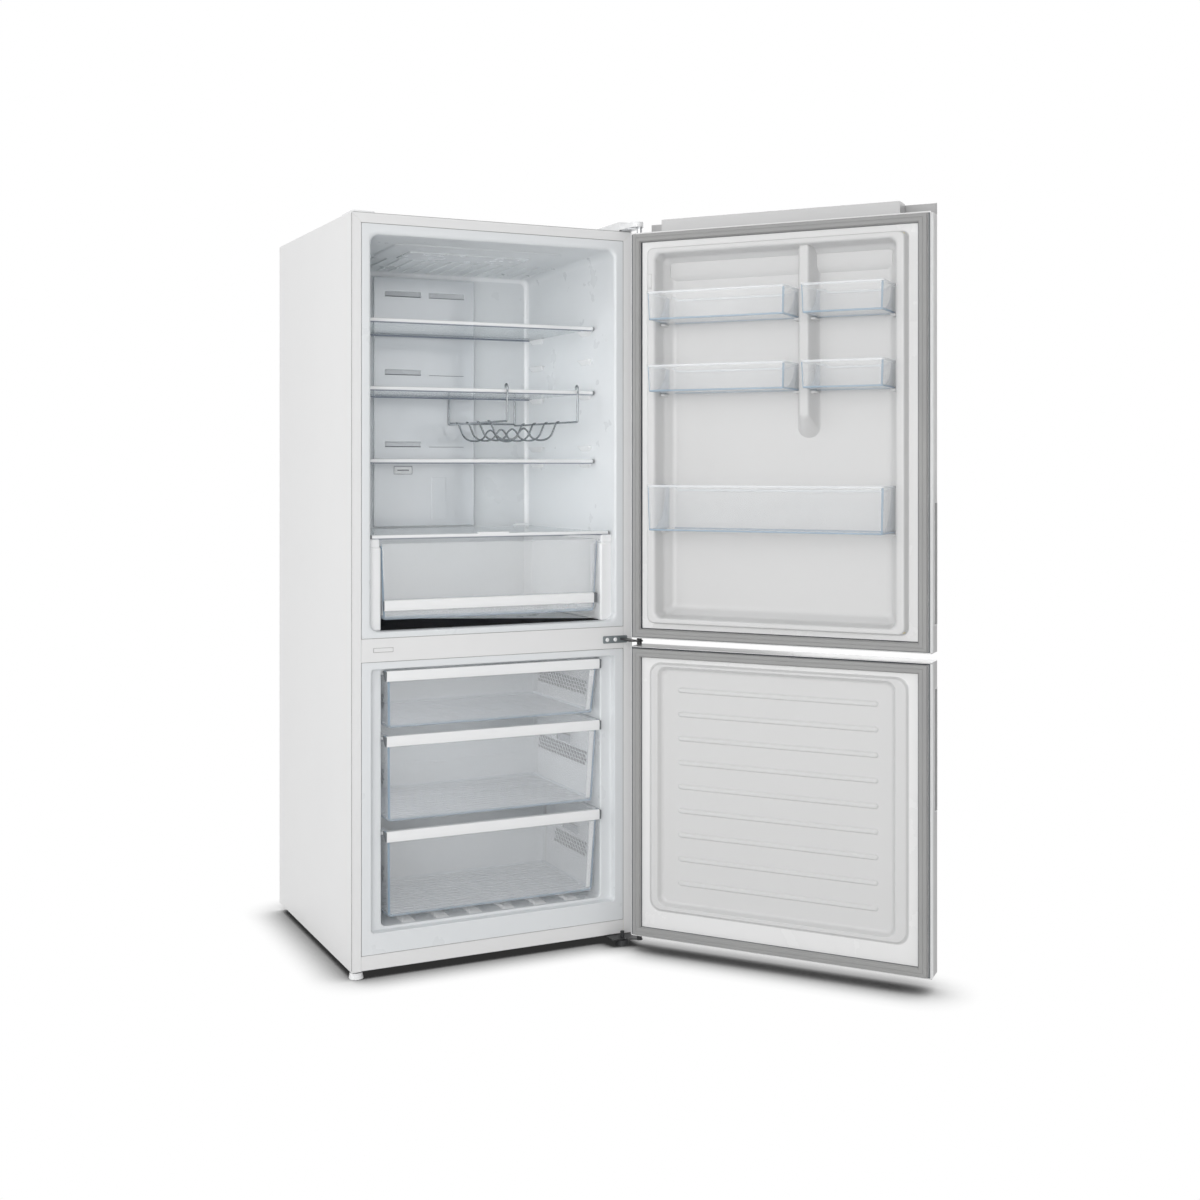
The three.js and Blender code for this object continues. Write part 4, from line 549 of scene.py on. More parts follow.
SHEET_PIECES = ["side_panel_left", "side_panel_right", "top_panel", "back_panel", "kick_strip"]
THICK_PIECES = [
    "mullion_strip", "corner_cap", "hinge_cover", "top_hinge", "bottom_hinge", "machine_cover",
    "fridge_door_top_cap", "fridge_door_bottom_cap",
    "freezer_door_top_cap", "freezer_door_bottom_cap",
]
DOOR_SKINS = ["fridge_door_skin", "freezer_door_skin"]
for name in SHEET_PIECES:
    soften(nodes[name], SHEET_EDGE)
for name in THICK_PIECES:
    soften(nodes[name], THICK_EDGE)
for name in DOOR_SKINS:
    soften(nodes[name], DOOR_EDGE, smooth=True)
print("softened:", len(SHEET_PIECES) + len(THICK_PIECES) + len(DOOR_SKINS), "pieces")

# %% [markdown]
# ## Drawing pieces in rings
#
# Liners, drawers and bins are all the same kind of thing: a rounded outline that changes as it
# goes deeper. So each is drawn as a row of rings. One ring is a station: its left and right, its
# two other sides, the corner radii, and how deep it lies. Between stations the bend is rounded
# with a fillet, because a formed sheet never folds sharply.
#
# Doors are drawn closed, where they are square to the cabinet, and swung open at the end.


# %% Stations and rings
def station(x0, x1, u0, u1, radii, depth, fillet=0.0):
    """One ring of a piece. radii are the corner radii at u0 and at u1."""
    return (x0, x1, u0, u1, radii[0], radii[1], depth, fillet)


def mixed(a, b, share):
    return tuple(p + (q - p) * share for p, q in zip(a, b))


def reach(a, b):
    """How far two stations are apart, in millimetres."""
    return max(abs(p - q) for p, q in zip(a[:7], b[:7])) or 1.0


def with_fillets(stations, steps=4):
    """The stations with each marked bend replaced by a short curve."""
    rows = [stations[0]]
    for before, here, after in zip(stations, stations[1:], stations[2:]):
        fillet = here[7]
        if fillet == 0:
            rows.append(here)
            continue
        start = mixed(here, before, min(fillet / reach(here, before), 0.5))
        end = mixed(here, after, min(fillet / reach(here, after), 0.5))
        for step in range(steps + 1):
            t = step / steps
            rows.append(mixed(mixed(start, here, t), mixed(here, end, t), t))
    rows.append(stations[-1])
    return rows


def ring(row, plane, corner, marks=()):
    """A station's outline as points. marks adds points along the u0 side, from both ends."""
    x0, x1, u0, u1, r0, r1, depth = row[:7]
    corners = [
        (x0 + r0, u0 + r0, r0, math.pi),
        (x1 - r0, u0 + r0, r0, 1.5 * math.pi),
        (x1 - r1, u1 - r1, r1, 0.0),
        (x0 + r1, u1 - r1, r1, 0.5 * math.pi),
    ]
    outline = []
    for index, (cx, cu, radius, first) in enumerate(corners):
        for step in range(corner + 1):
            angle = first + 0.5 * math.pi * step / corner
            outline.append((cx + radius * math.cos(angle), cu + radius * math.sin(angle)))
        if index == 0:
            outline += [(x0 + mark, u0) for mark in marks]
            outline += [(x1 - mark, u0) for mark in reversed(marks)]
    if plane == "xz":
        return [(x, depth, u) for x, u in outline]
    return [(x, u, depth) for x, u in outline]


def rings_of(rows, plane, corner):
    """The rings of a row of stations, in one plane."""
    return [ring(row, plane, corner) for row in rows]


# %% A draft collects one piece
DOME_SIDES = 14
DOME_RINGS = ((1.0, -0.3), (1.0, 0.35), (0.86, 0.75), (0.5, 1.0))


class Draft:
    """The points and faces of one piece, in the cabinet's millimetres."""

    def __init__(self):
        self.points = []
        self.faces = []
        self.paints = []

    def loft(self, rings, closed=False, caps=(True, True), paint=lambda band, column: 0):
        """Faces between rings of the same number of points, capped at the ends."""
        first = len(self.points)
        count = len(rings[0])
        for one in rings:
            self.points += one
        bands = len(rings) if closed else len(rings) - 1
        for band in range(bands):
            low = first + band * count
            high = first + (band + 1) % len(rings) * count
            for column in range(count):
                after = (column + 1) % count
                self.faces.append((low + column, low + after, high + after, high + column))
                self.paints.append(paint(band, column))
        if not closed and caps[0]:
            self.faces.append(tuple(reversed(range(first, first + count))))
            self.paints.append(paint(0, -1))
        if not closed and caps[1]:
            last = first + (len(rings) - 1) * count
            self.faces.append(tuple(range(last, last + count)))
            self.paints.append(paint(bands - 1, -1))
        return self

    def hull(self, low, high, paint=0):
        """A block between two four-cornered outlines, each a list of (x, y, z)."""
        return self.loft([list(low), list(high)], paint=lambda band, column: paint)

    def box(self, x0, x1, y0, y1, z0, z1, paint=0):
        low = [(x0, y0, z0), (x1, y0, z0), (x1, y1, z0), (x0, y1, z0)]
        return self.hull(low, [(x, y, z1) for x, y, _ in low], paint)

    def along_x(self, profile, x0, x1, paint=0):
        """A bar with the same (y, z) profile from x0 to x1."""
        rings = [[(x, y, z) for y, z in profile] for x in (x0, x1)]
        return self.loft(rings, paint=lambda band, column: paint)

    def dome(self, centre, direction, radius, height, paint=0):
        """A low round head, such as a screw's."""
        axis = Vector(direction).normalized()
        across = axis.orthogonal().normalized()
        beside = axis.cross(across)
        rings = []
        for share, rise in DOME_RINGS:
            one = []
            for side in range(DOME_SIDES):
                angle = 2 * math.pi * side / DOME_SIDES
                spot = across * math.cos(angle) + beside * math.sin(angle)
                one.append(tuple(Vector(centre) + spot * radius * share + axis * height * rise))
            rings.append(one)
        return self.loft(rings, paint=lambda band, column: paint)


# %% From draft to object
SHARP_FROM = 40


def make_piece(
    draft, name, materials, body, slot, stands_for=(), door=False, facing=None, **finish
):
    """An object from a draft. finish may give edge (bevel in mm), wall (mm) and sharp (degrees)."""
    mesh = bpy.data.meshes.new(name)
    shape = bmesh.new()
    corners = [shape.verts.new(at(*point)) for point in draft.points]
    for indices, paint_index in zip(draft.faces, draft.paints):
        face = shape.faces.new([corners[i] for i in indices])
        face.material_index = paint_index
        face.smooth = True
    if facing is None:
        bmesh.ops.recalc_face_normals(shape, faces=shape.faces)
    else:
        shape.normal_update()
        shape.faces.ensure_lookup_table()
        if shape.faces[-1].normal.dot(Vector(facing)) < 0:
            bmesh.ops.reverse_faces(shape, faces=shape.faces)
    shape.normal_update()
    limit = math.radians(finish.get("sharp", SHARP_FROM))
    for edge in shape.edges:
        edge.smooth = edge.is_boundary or edge.calc_face_angle(0) < limit
    if door:
        bmesh.ops.transform(shape, matrix=DOOR_TURN, verts=shape.verts)
    shape.to_mesh(mesh)
    shape.free()
    for material in materials:
        mesh.materials.append(material)
    obj = bpy.data.objects.new(name, mesh)
    bpy.context.scene.collection.objects.link(obj)
    if "wall" in finish:
        wall = obj.modifiers.new("wall", "SOLIDIFY")
        wall.thickness = finish["wall"] * MM
        wall.offset = -1
    if "edge" in finish:
        bevel = obj.modifiers.new("soft_edges", "BEVEL")
        bevel.width = finish["edge"] * MM
        bevel.segments = 2
        bevel.limit_method = "ANGLE"
        bevel.angle_limit = limit
    even = obj.modifiers.new("even_shading", "WEIGHTED_NORMAL")
    even.weight = 100
    even.keep_sharp = True
    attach(obj, body)
    if stands_for:
        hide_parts(*stands_for)
    print(f"{name}: {len(mesh.polygons)} faces on {body}")
    return obj


# %% [markdown]
# ## The fridge compartment
#
# One vacuum-formed sheet makes the front border, the rounded mouth and the five walls. It could be
# a cube with rounded edges, turned inside out. Drawing it in rings gives the real bend at the
# mouth and at the back, and the ceiling that falls a little towards the back.

# %% Fridge liner
BORDER = 349.6
BORDER_FACE = 0.6
MOUTH = 326
BACK_HALF = 318
FRIDGE_DEPTH = 521
FRIDGE_FLOOR = 822
CEILING_FRONT = 1768
CEILING_BACK = 1750
SHEET = 1.6
CORNER_HIGHLIGHT_FROM = FRIDGE_DEPTH - 10
CORNER_HIGHLIGHT_TO = FRIDGE_DEPTH - 1

fridge_skin = Draft()
fridge_rows = with_fillets([
    station(-BORDER, BORDER, 807.4, 1792.6, (2, 2), BORDER_FACE),
    station(-MOUTH, MOUTH, FRIDGE_FLOOR, CEILING_FRONT, (22, 22), BORDER_FACE, 9),
    station(-BACK_HALF, BACK_HALF, FRIDGE_FLOOR, CEILING_BACK, (20, 20), FRIDGE_DEPTH, 16),
    station(-280, 280, 860, 1712, (12, 12), FRIDGE_DEPTH),
], steps=6)


def fridge_paint(band, column):
    """The back corner's rounded band gets a lighter, glossier white: a painted highlight."""
    depth = 0.5 * (fridge_rows[band][6] + fridge_rows[band + 1][6])
    return 1 if CORNER_HIGHLIGHT_FROM < depth < CORNER_HIGHLIGHT_TO and column >= 0 else 0


fridge_skin.loft(rings_of(fridge_rows, "xz", 8), caps=(False, True), paint=fridge_paint)
make_piece(
    fridge_skin, "fridge_liner_skin", [liner_plastic, painted_corner_highlight], "cabinet", "cabinet_liner",
    ["fridge_liner"], facing=(0, -1, 0), wall=SHEET,
)

# %% [markdown]
# ### Ledges, cheeks and painted shadow
#
# Short ledges stand out of the side walls for the shelves, with spare ones between them, so that a
# shelf can be moved. Two thick cheeks flank the crisper, and under it lies a dark sheet of painted
# shadow. Ledges and cheeks could be pulled out of the liner's own sheet. As blocks of their own, set
# a little into the wall, they keep their edges crisp.

# %% Shelf ledges
SHELF_LEVELS = (1575, 1407, 1228)
SPARE_LEVELS = (1499, 1271)
LEDGE_RUNS = ((125, 196), (408, 500))
LEDGE_WIDTH = 11
LEDGE_HEIGHT = 15


def side_wall(y):
    """Half the width between the fridge's side walls at a depth."""
    return MOUTH - (MOUTH - BACK_HALF) * y / FRIDGE_DEPTH


def ceiling(y):
    """The height of the fridge's ceiling at a depth."""
    return CEILING_FRONT - (CEILING_FRONT - CEILING_BACK) * y / FRIDGE_DEPTH


ledges = Draft()
for level in SHELF_LEVELS + SPARE_LEVELS:
    top = level - 0.4
    foot = top - LEDGE_HEIGHT
    for y0, y1 in LEDGE_RUNS:
        for side in (-1, 1):
            outer0, outer1 = side * (side_wall(y0) + 1), side * (side_wall(y1) + 1)
            inner0 = side * (side_wall(y0) - LEDGE_WIDTH)
            inner1 = side * (side_wall(y1) - LEDGE_WIDTH)
            low = [
                (outer0, y0 + 10, foot),
                (outer0 - side * 3, y0 + 12, foot + 2),
                (outer1 - side * 3, y1 - 12, foot + 2),
                (outer1, y1 - 10, foot),
            ]
            high = [
                (outer0, y0, top), (inner0, y0 + 2, top), (inner1, y1 - 2, top), (outer1, y1, top),
            ]
            ledges.hull(low, high)
make_piece(ledges, "shelf_ledges", [gloss_white], "cabinet", "cabinet_liner", edge=2.2)

# %% Cheeks beside the crisper, and painted shadow under it
CHEEK_STEPS = ((294.8, FRIDGE_FLOOR, 1022), (297.8, 1020, 1042))
cheeks = Draft()
for side in (-1, 1):
    for inner, z0, z1 in CHEEK_STEPS:
        x0, x1 = sorted((inner * side, 328 * side))
        cheeks.box(x0, x1, 20, 500, z0, z1)
make_piece(cheeks, "crisper_cheeks", [gloss_white], "cabinet", "cabinet_liner", edge=4)

# Painted shadow: a flat black sheet on the floor under the crisper, wider at the left than at the right.
SHADOW_SHEET_FOOT = FRIDGE_FLOOR + 0.3
SHADOW_SHEET_TOP = FRIDGE_FLOOR + 2
crisper_shadow_sheet = Draft()
crisper_shadow_sheet.hull(
    [(-304, 28, SHADOW_SHEET_FOOT), (304, 34, SHADOW_SHEET_FOOT), (304, 62, SHADOW_SHEET_FOOT), (-304, 330, SHADOW_SHEET_FOOT)],
    [(-303, 29, SHADOW_SHEET_TOP), (303, 35, SHADOW_SHEET_TOP), (303, 61, SHADOW_SHEET_TOP), (-303, 328, SHADOW_SHEET_TOP)],
)
make_piece(crisper_shadow_sheet, "crisper_painted_shadow", [painted_shadow_black], "cabinet", "black_plastic")

# %% [markdown]
# ### The ceiling
#
# Behind the lamp the ceiling has a row of shallow ribs, and the lamp sits in a wide moulded frame.
# Both follow the ceiling's slope, so their heights are measured down from it. A bump pattern would
# be lighter, but the ribs are seen at a flat angle, where only real relief shows.

# %% Ceiling ribs
RIB_COUNT = 17
RIB_PITCH = 36
RIB_RUN = (300, 500)
RIB_DROP = 3.2
RIB_HALF = 3.2
ribs = Draft()
for index in range(RIB_COUNT):
    x = RIB_PITCH * (index - (RIB_COUNT - 1) / 2)
    y0, y1 = RIB_RUN
    root0, root1 = ceiling(y0) - 0.4, ceiling(y1) - 0.4
    crest0, crest1 = ceiling(y0) - RIB_DROP, ceiling(y1) - RIB_DROP
    ribs.hull(
        [(x - 1.2, y0 + 3, crest0), (x + 1.2, y0 + 3, crest0), (x + 1.2, y1, crest1),
         (x - 1.2, y1, crest1)],
        [(x - RIB_HALF, y0, root0), (x + RIB_HALF, y0, root0), (x + RIB_HALF, y1, root1),
         (x - RIB_HALF, y1, root1)],
    )
make_piece(ribs, "ceiling_ribs", [liner_plastic], "cabinet", "cabinet_liner", edge=0.6)

# %% Lamp panel
lamp_panel = Draft()
LAMP_RINGS = (
    (-232, 232, 96, 292, 26, 0.2),
    (-226, 226, 102, 286, 24, 4.5),
    (-172, 172, 164, 284, 10, 5.0),
    (-167, 167, 168, 282, 8, 2.0),
)
lamp_panel.loft([
    [(x, y, ceiling(y) - drop) for x, y, _ in ring(station(x0, x1, y0, y1, (r, r), 0), "xy", 6)]
    for x0, x1, y0, y1, r, drop in LAMP_RINGS
])
make_piece(lamp_panel, "lamp_panel", [liner_plastic], "cabinet", "cabinet_liner", edge=0.8)

# %% [markdown]
# ### The air duct
#
# Cold air comes down a flat duct on the back wall and leaves through slots at each shelf. A slot
# could be cut with a boolean. Here the front is laid out as a grid of cells, and the cells that
# are slots get a sunk floor that slants outwards at the top, which gives clean faces.

# %% Air duct
DUCT_HALF = 147
DUCT_FOOT = 1052
DUCT_HEAD = 1735
DUCT_SLOTS = (1690, 1475, 1277)
SLOT_HALF = 7
SLOT_INNER = 12
SLOT_OUTER = 116
DUCT_FACE = 508.7
DUCT_BACK = 521.7
SLOT_DEPTHS = (1.5, 5)

duct = Draft()
columns = [-DUCT_HALF, -SLOT_OUTER, -SLOT_INNER, SLOT_INNER, SLOT_OUTER, DUCT_HALF]
levels = [DUCT_FOOT]
for middle in reversed(DUCT_SLOTS):
    levels += [middle - SLOT_HALF, middle + SLOT_HALF]
levels.append(DUCT_HEAD)
last_column, last_level = len(columns) - 1, len(levels) - 1
grid = {}
for i, x in enumerate(columns):
    for j, z in enumerate(levels):
        grid[i, j] = len(duct.points)
        duct.points.append((x, DUCT_FACE, z))


def duct_face(indices, paint=0):
    duct.faces.append(tuple(indices))
    duct.paints.append(paint)


for i in range(last_column):
    for j in range(last_level):
        cell = [grid[i, j], grid[i + 1, j], grid[i + 1, j + 1], grid[i, j + 1]]
        left_slot = i == 1 and j % 2 == 1
        top_right_slot = (i, j) == (3, last_level - 2)
        if not (left_slot or top_right_slot):
            duct_face(cell)
            continue
        base = len(duct.points)
        for k, depth in zip(cell, (SLOT_DEPTHS[0], SLOT_DEPTHS[0], SLOT_DEPTHS[1], SLOT_DEPTHS[1])):
            x, y, z = duct.points[k]
            duct.points.append((x, y + depth, z))
        # The slot's upper wall and floor take the darker copy of the duct plastic: painted shade.
        for k in range(4):
            after = (k + 1) % 4
            duct_face((cell[k], cell[after], base + after, base + k), 1 if k == 2 else 0)
        duct_face((base, base + 1, base + 2, base + 3), 1)
outline = [grid[i, 0] for i in range(last_column + 1)]
outline += [grid[last_column, j] for j in range(1, last_level + 1)]
outline += [grid[i, last_level] for i in range(last_column - 1, -1, -1)]
outline += [grid[0, j] for j in range(last_level - 1, 0, -1)]
back_start = len(duct.points)
duct.points += [(duct.points[i][0], DUCT_BACK, duct.points[i][2]) for i in outline]
for k in range(len(outline)):
    after = (k + 1) % len(outline)
    duct_face((outline[k], outline[after], back_start + after, back_start + k))
make_piece(
    duct, "duct_panel", [duct_plastic, duct_slot_shade], "cabinet", "duct_plastic", ["duct_cover"],
    edge=1.6,
)

# %% The duct's small slider and the shadow lines of its slots
TAG = (-89, -39, 1197, 1215)
TAG_FRAME = 1.4
duct_trim = Draft()
duct_trim.loft(rings_of([
    station(*TAG, (3, 3), DUCT_FACE + 0.5),
    station(*TAG, (3, 3), DUCT_FACE - 1.6),
    station(-86, -42, 1200, 1212, (2, 2), DUCT_FACE - 1.6),
    station(-86, -42, 1200, 1212, (2, 2), DUCT_FACE - 0.4),
], "xz", 4))
duct_trim.box(-81, -47, DUCT_FACE - 1.2, DUCT_FACE - 0.3, 1204.8, 1207.2, 1)
x0, x1, z0, z1 = TAG[0] - 2, TAG[1] + 2, TAG[2] - 2.4, TAG[3] + 2.4
for frame_x0, frame_x1, frame_z0, frame_z1 in (
    (x0, x1, z0, z0 + TAG_FRAME), (x0, x1, z1 - TAG_FRAME, z1),
    (x0, x0 + TAG_FRAME, z0, z1), (x1 - TAG_FRAME, x1, z0, z1),
):
    duct_trim.box(frame_x0, frame_x1, DUCT_FACE - 0.5, DUCT_FACE + 1, frame_z0, frame_z1, 1)
for middle in DUCT_SLOTS:
    foot = middle - SLOT_HALF - 0.4
    for x0, x1, thick in ((-SLOT_OUTER, -SLOT_INNER, 2.2), (SLOT_INNER, SLOT_OUTER, 1.6)):
        duct_trim.box(x0, x1, DUCT_FACE - 0.3, DUCT_FACE + 2, foot, foot + thick, 1)
duct_trim.box(-DUCT_HALF, -DUCT_HALF + 1, DUCT_FACE - 0.5, DUCT_FACE + 1, 1056, 1731)
duct_trim.box(20, 62, DUCT_FACE - 1.0, DUCT_FACE + 1, 1070, 1186, 2)
make_piece(
    duct_trim, "duct_tag", [gloss_white, grey_moulding_and_shade, duct_plastic], "cabinet", "white_trim",
    edge=0.5,
)

# %% [markdown]
# ## The freezer compartment
#
# The opening steps in once, and the drawers run behind that step. Six white pads carry air under
# the lowest drawer, and the floor rises at the back over the machine room. The sheet is drawn in
# rings like the fridge's own, with one more ring for the step.

# %% Freezer liner
FREEZER_HALF = 294
FREEZER_STEP = 20
FREEZER_DEPTH = 499
freezer_skin = Draft()
freezer_rows = with_fillets([
    station(-BORDER, BORDER, 56.4, 749.6, (2, 2), BORDER_FACE),
    station(-MOUTH, MOUTH, 106, 733, (9, 9), BORDER_FACE, 3),
    station(-MOUTH + 1.5, MOUTH - 1.5, 107.5, 731.5, (9, 9), FREEZER_STEP, 5),
    station(-FREEZER_HALF, FREEZER_HALF, 114, 728, (12, 12), FREEZER_STEP, 5),
    station(-FREEZER_HALF, FREEZER_HALF, 114, 728, (12, 12), FREEZER_DEPTH, 12),
    station(-260, 260, 150, 690, (8, 8), FREEZER_DEPTH),
], steps=5)
freezer_skin.loft(rings_of(freezer_rows, "xz", 6), caps=(False, True))
make_piece(
    freezer_skin, "freezer_liner_skin", [liner_plastic], "cabinet", "cabinet_liner",
    ["freezer_liner"], facing=(0, -1, 0), wall=SHEET,
)

# %% Freezer floor pads
PAD_PITCH = 87.8
pads = Draft()
for index in range(6):
    x = (index - 2.5) * PAD_PITCH
    pads.hull(
        [(x - 24, 18, 107), (x + 24, 18, 107), (x + 20, 328, 113), (x - 20, 328, 113)],
        [(x - 13, 40, 119.5), (x + 13, 40, 119.5), (x + 13, 328, 119.5), (x - 13, 328, 119.5)],
    )
make_piece(pads, "floor_pads", [gloss_white], "cabinet", "cabinet_liner", edge=2)

# %% Drawer rails and the raised floor behind
DRAWERS = (
    {"number": 1, "z0": 587, "z1": 727, "back": 394, "slot_top": 656, "slots": 17,
     "window": (190, 256, 661, 676)},
    {"number": 2, "z0": 362, "z1": 571, "back": 394, "slot_top": 474, "slots": 17,
     "window": (155, 232, 486, 506)},
    {"number": 3, "z0": 133, "z1": 343, "back": 335, "slot_top": 239, "slots": 11,
     "window": (110, 195, 256, 276)},
)
rails = Draft()
for drawer in DRAWERS:
    for side in (-1, 1):
        x0, x1 = sorted((side * 283, side * 295))
        rails.box(x0, x1, 28, drawer["back"] - 4, drawer["z1"] - 11.3, drawer["z1"] - 3.4)
rails.box(-293, 293, 345, FREEZER_DEPTH, 115, 347)
make_piece(rails, "drawer_rails", [liner_plastic], "cabinet", "cabinet_liner", edge=2)

# %% [markdown]
# ### The cover in front of the evaporator
#
# Behind the drawers a flat moulded panel hides the cold coil, with rows of openings for the air.
# They are hardly seen through the drawers, so each is a low block on the panel and not a hole.

# %% Evaporator cover
cover = Draft()
cover.box(-293.5, 293.5, 399, 403, 349, 726)
for z in (700, 660, 540, 420):
    for index in range(-3, 4):
        cover.box(index * 76 - 26, index * 76 + 26, 397.2, 400, z - 4, z + 4)
make_piece(
    cover, "evaporator_panel", [liner_plastic], "cabinet", "cabinet_liner", ["evaporator_cover"],
    edge=1.5,
)

# %% [markdown]
# ### Seams and folds
#
# Where the plastic liner meets the steel front there is a fine dark joint, and the steel sheets
# fold over at the cabinet's front edges, where a thin grey line is the fold's painted shade.
# Such lines are what the eye reads as separate pieces.
# They could be painted in a material, but as thin strips they also hold in the exported meshes.

# %% Seams between the steel front and the liners
SEAM_HALF = 2
PLUG_SHADOW_LINES = (
    (-321, -271, 783, 783.9), (-321, -271, 773.1, 774),
    (-321, -320.2, 773.1, 783.9), (-271.8, -271, 773.1, 783.9),
)
seam_and_shadow_lines = Draft()
for x in (-350.5, 350.5):
    seam_and_shadow_lines.box(x - SEAM_HALF, x + SEAM_HALF, 2.7, 3.3, 54, 1794)
for z in (55.5, 750.5, 806.6, 1793.2):
    seam_and_shadow_lines.box(-351, 351, 2.7, 3.3, z - SEAM_HALF, z + SEAM_HALF)
# Painted shadow: a thin grey outline round the plug on the mullion.
for x0, x1, z0, z1 in PLUG_SHADOW_LINES:
    seam_and_shadow_lines.box(x0, x1, -0.4, 1, z0, z1)
make_piece(seam_and_shadow_lines, "liner_seams_and_plug_shadow", [seam_and_shadow_grey], "cabinet", "black_plastic")

# %% Painted shade along the folded edges of the panels
fold_shade_lines = Draft()
for x in (-374.6, 374.6):
    fold_shade_lines.box(x - 0.8, x + 0.7, -0.3, 1.4, 24, 1815)
fold_shade_lines.box(-372, 372, -0.3, 1.4, 1816.9, 1818.2)
make_piece(fold_shade_lines, "panel_fold_shades", [fold_shade_grey], "cabinet", "white_steel", edge=0.3)

# %% [markdown]
# ## Drawers
#
# Every drawer is one clear tub with a white band across its front. The freezer drawers lean back
# at the foot, have a ribbed floor, and a field of small slots in each side wall. The tub is drawn
# in rings, out over the rim and down again inside, so that its wall has a real thickness. The rim
# and the two front corners get the blue of thick clear plastic.

# %% Tubs
CLEAR_WALL = 2.5
RIM = 6


def tub(draft, low, high, lip, fillet, corner=5):
    """A clear open box: low and high are its outer outline at the foot and under the rim."""
    x0, x1, y0, y1, z0 = low
    X0, X1, Y0, Y1, z1 = high
    inset = 1 + CLEAR_WALL
    rows = with_fillets([
        station(x0 + fillet, x1 - fillet, y0 + fillet, y1 - fillet, (5, 4), z0),
        station(x0 + 1, x1 - 1, y0 + 1, y1 - 1, (10, 6), z0, fillet),
        station(X0, X1, Y0, Y1, (9, 5), z1 - RIM, 1),
        station(X0 - lip, X1 + lip, Y0, Y1 + 1, (9, 5), z1 - RIM + 2, 1),
        station(X0 - lip, X1 + lip, Y0, Y1 + 1, (9, 5), z1, 1),
        station(
            X0 + CLEAR_WALL, X1 - CLEAR_WALL, Y0 + CLEAR_WALL, Y1 - CLEAR_WALL, (7, 4), z1,
            CLEAR_WALL / 2,
        ),
        station(x0 + inset, x1 - inset, y0 + inset, y1 - inset, (8, 4), z0 + CLEAR_WALL, fillet),
        station(x0 + 16, x1 - 16, y0 + 16, y1 - 16, (4, 3), z0 + CLEAR_WALL),
    ])
    left_corner = corner // 2
    right_corner = corner + 1 + corner // 2
    bright = (left_corner - 1, left_corner, right_corner - 1, right_corner)

    def paint(band, column):
        if 1 <= band <= 4:
            return 1
        return 2 if column in bright else 0

    return draft.loft(rings_of(rows, "xy", corner), paint=paint)


# %% Slots in a drawer's side walls
SLOT_ROWS = 4
ROW_PITCH = 9.5
SLOT_PITCH = 17
SLOT_LENGTH = 9.5
SLOT_HEIGHT = 7
SLOT_SLANT = 4
FIRST_SLOT = 58
WALL_LEAN = 6
LEAN_HEIGHT = 140


def side_slots(draft, drawer):
    """Four rows of short slanted slots, and the larger one above them, on both side walls, drawn as dark blocks of
    painted shade.
    """
    share = (drawer["slot_top"] - drawer["z0"]) / (drawer["z1"] - drawer["z0"])
    y_low, y_high, z_low, z_high = drawer["window"]
    for side in (-1, 1):
        for row_index in range(SLOT_ROWS):
            drop = row_index * ROW_PITCH
            z = drawer["slot_top"] - drop
            x = side * (272.1 + WALL_LEAN * (share - drop / LEAN_HEIGHT))
            x0, x1 = sorted((x, x - side * 0.6))
            for index in range(drawer["slots"]):
                y = FIRST_SLOT + index * SLOT_PITCH + (row_index % 2) * SLOT_PITCH / 2
                end = y + SLOT_LENGTH
                low = [(x0, y, z), (x1, y, z), (x1, end, z), (x0, end, z)]
                draft.hull(low, [(px, py + SLOT_SLANT, z + SLOT_HEIGHT) for px, py, _ in low])
        x = side * (272.4 + WALL_LEAN * share)
        x0, x1 = sorted((x, x - side * 0.8))
        draft.box(x0, x1, y_low, y_high, z_low, z_high, 1)
        draft.box(x0, x1, y_low, y_high, z_high, z_high + 2)
        draft.box(x0, x1, y_high, y_high + 4, z_low, z_high + 2)


def band_profile(front, z0, z1):
    """The white handle band: a gently bulged face with a lip turned in at top and foot."""
    return [
        (front + 6, z0), (front + 1.2, z0 + 0.4), (front + 0.2, z0 + 3),
        (front - 0.6, (z0 + z1) / 2), (front, z1 - 3), (front + 1.0, z1 - 0.6),
        (front + 2.5, z1), (front + 20, z1 - 1.5), (front + 20, z1 - 3.5), (front + 4, z1 - 3),
        (front + 3, z1 - 5), (front + 3, z0 + 4), (front + 6, z0 + 3),
    ]


print("slots in one wall of the top drawer:", SLOT_ROWS * DRAWERS[0]["slots"])

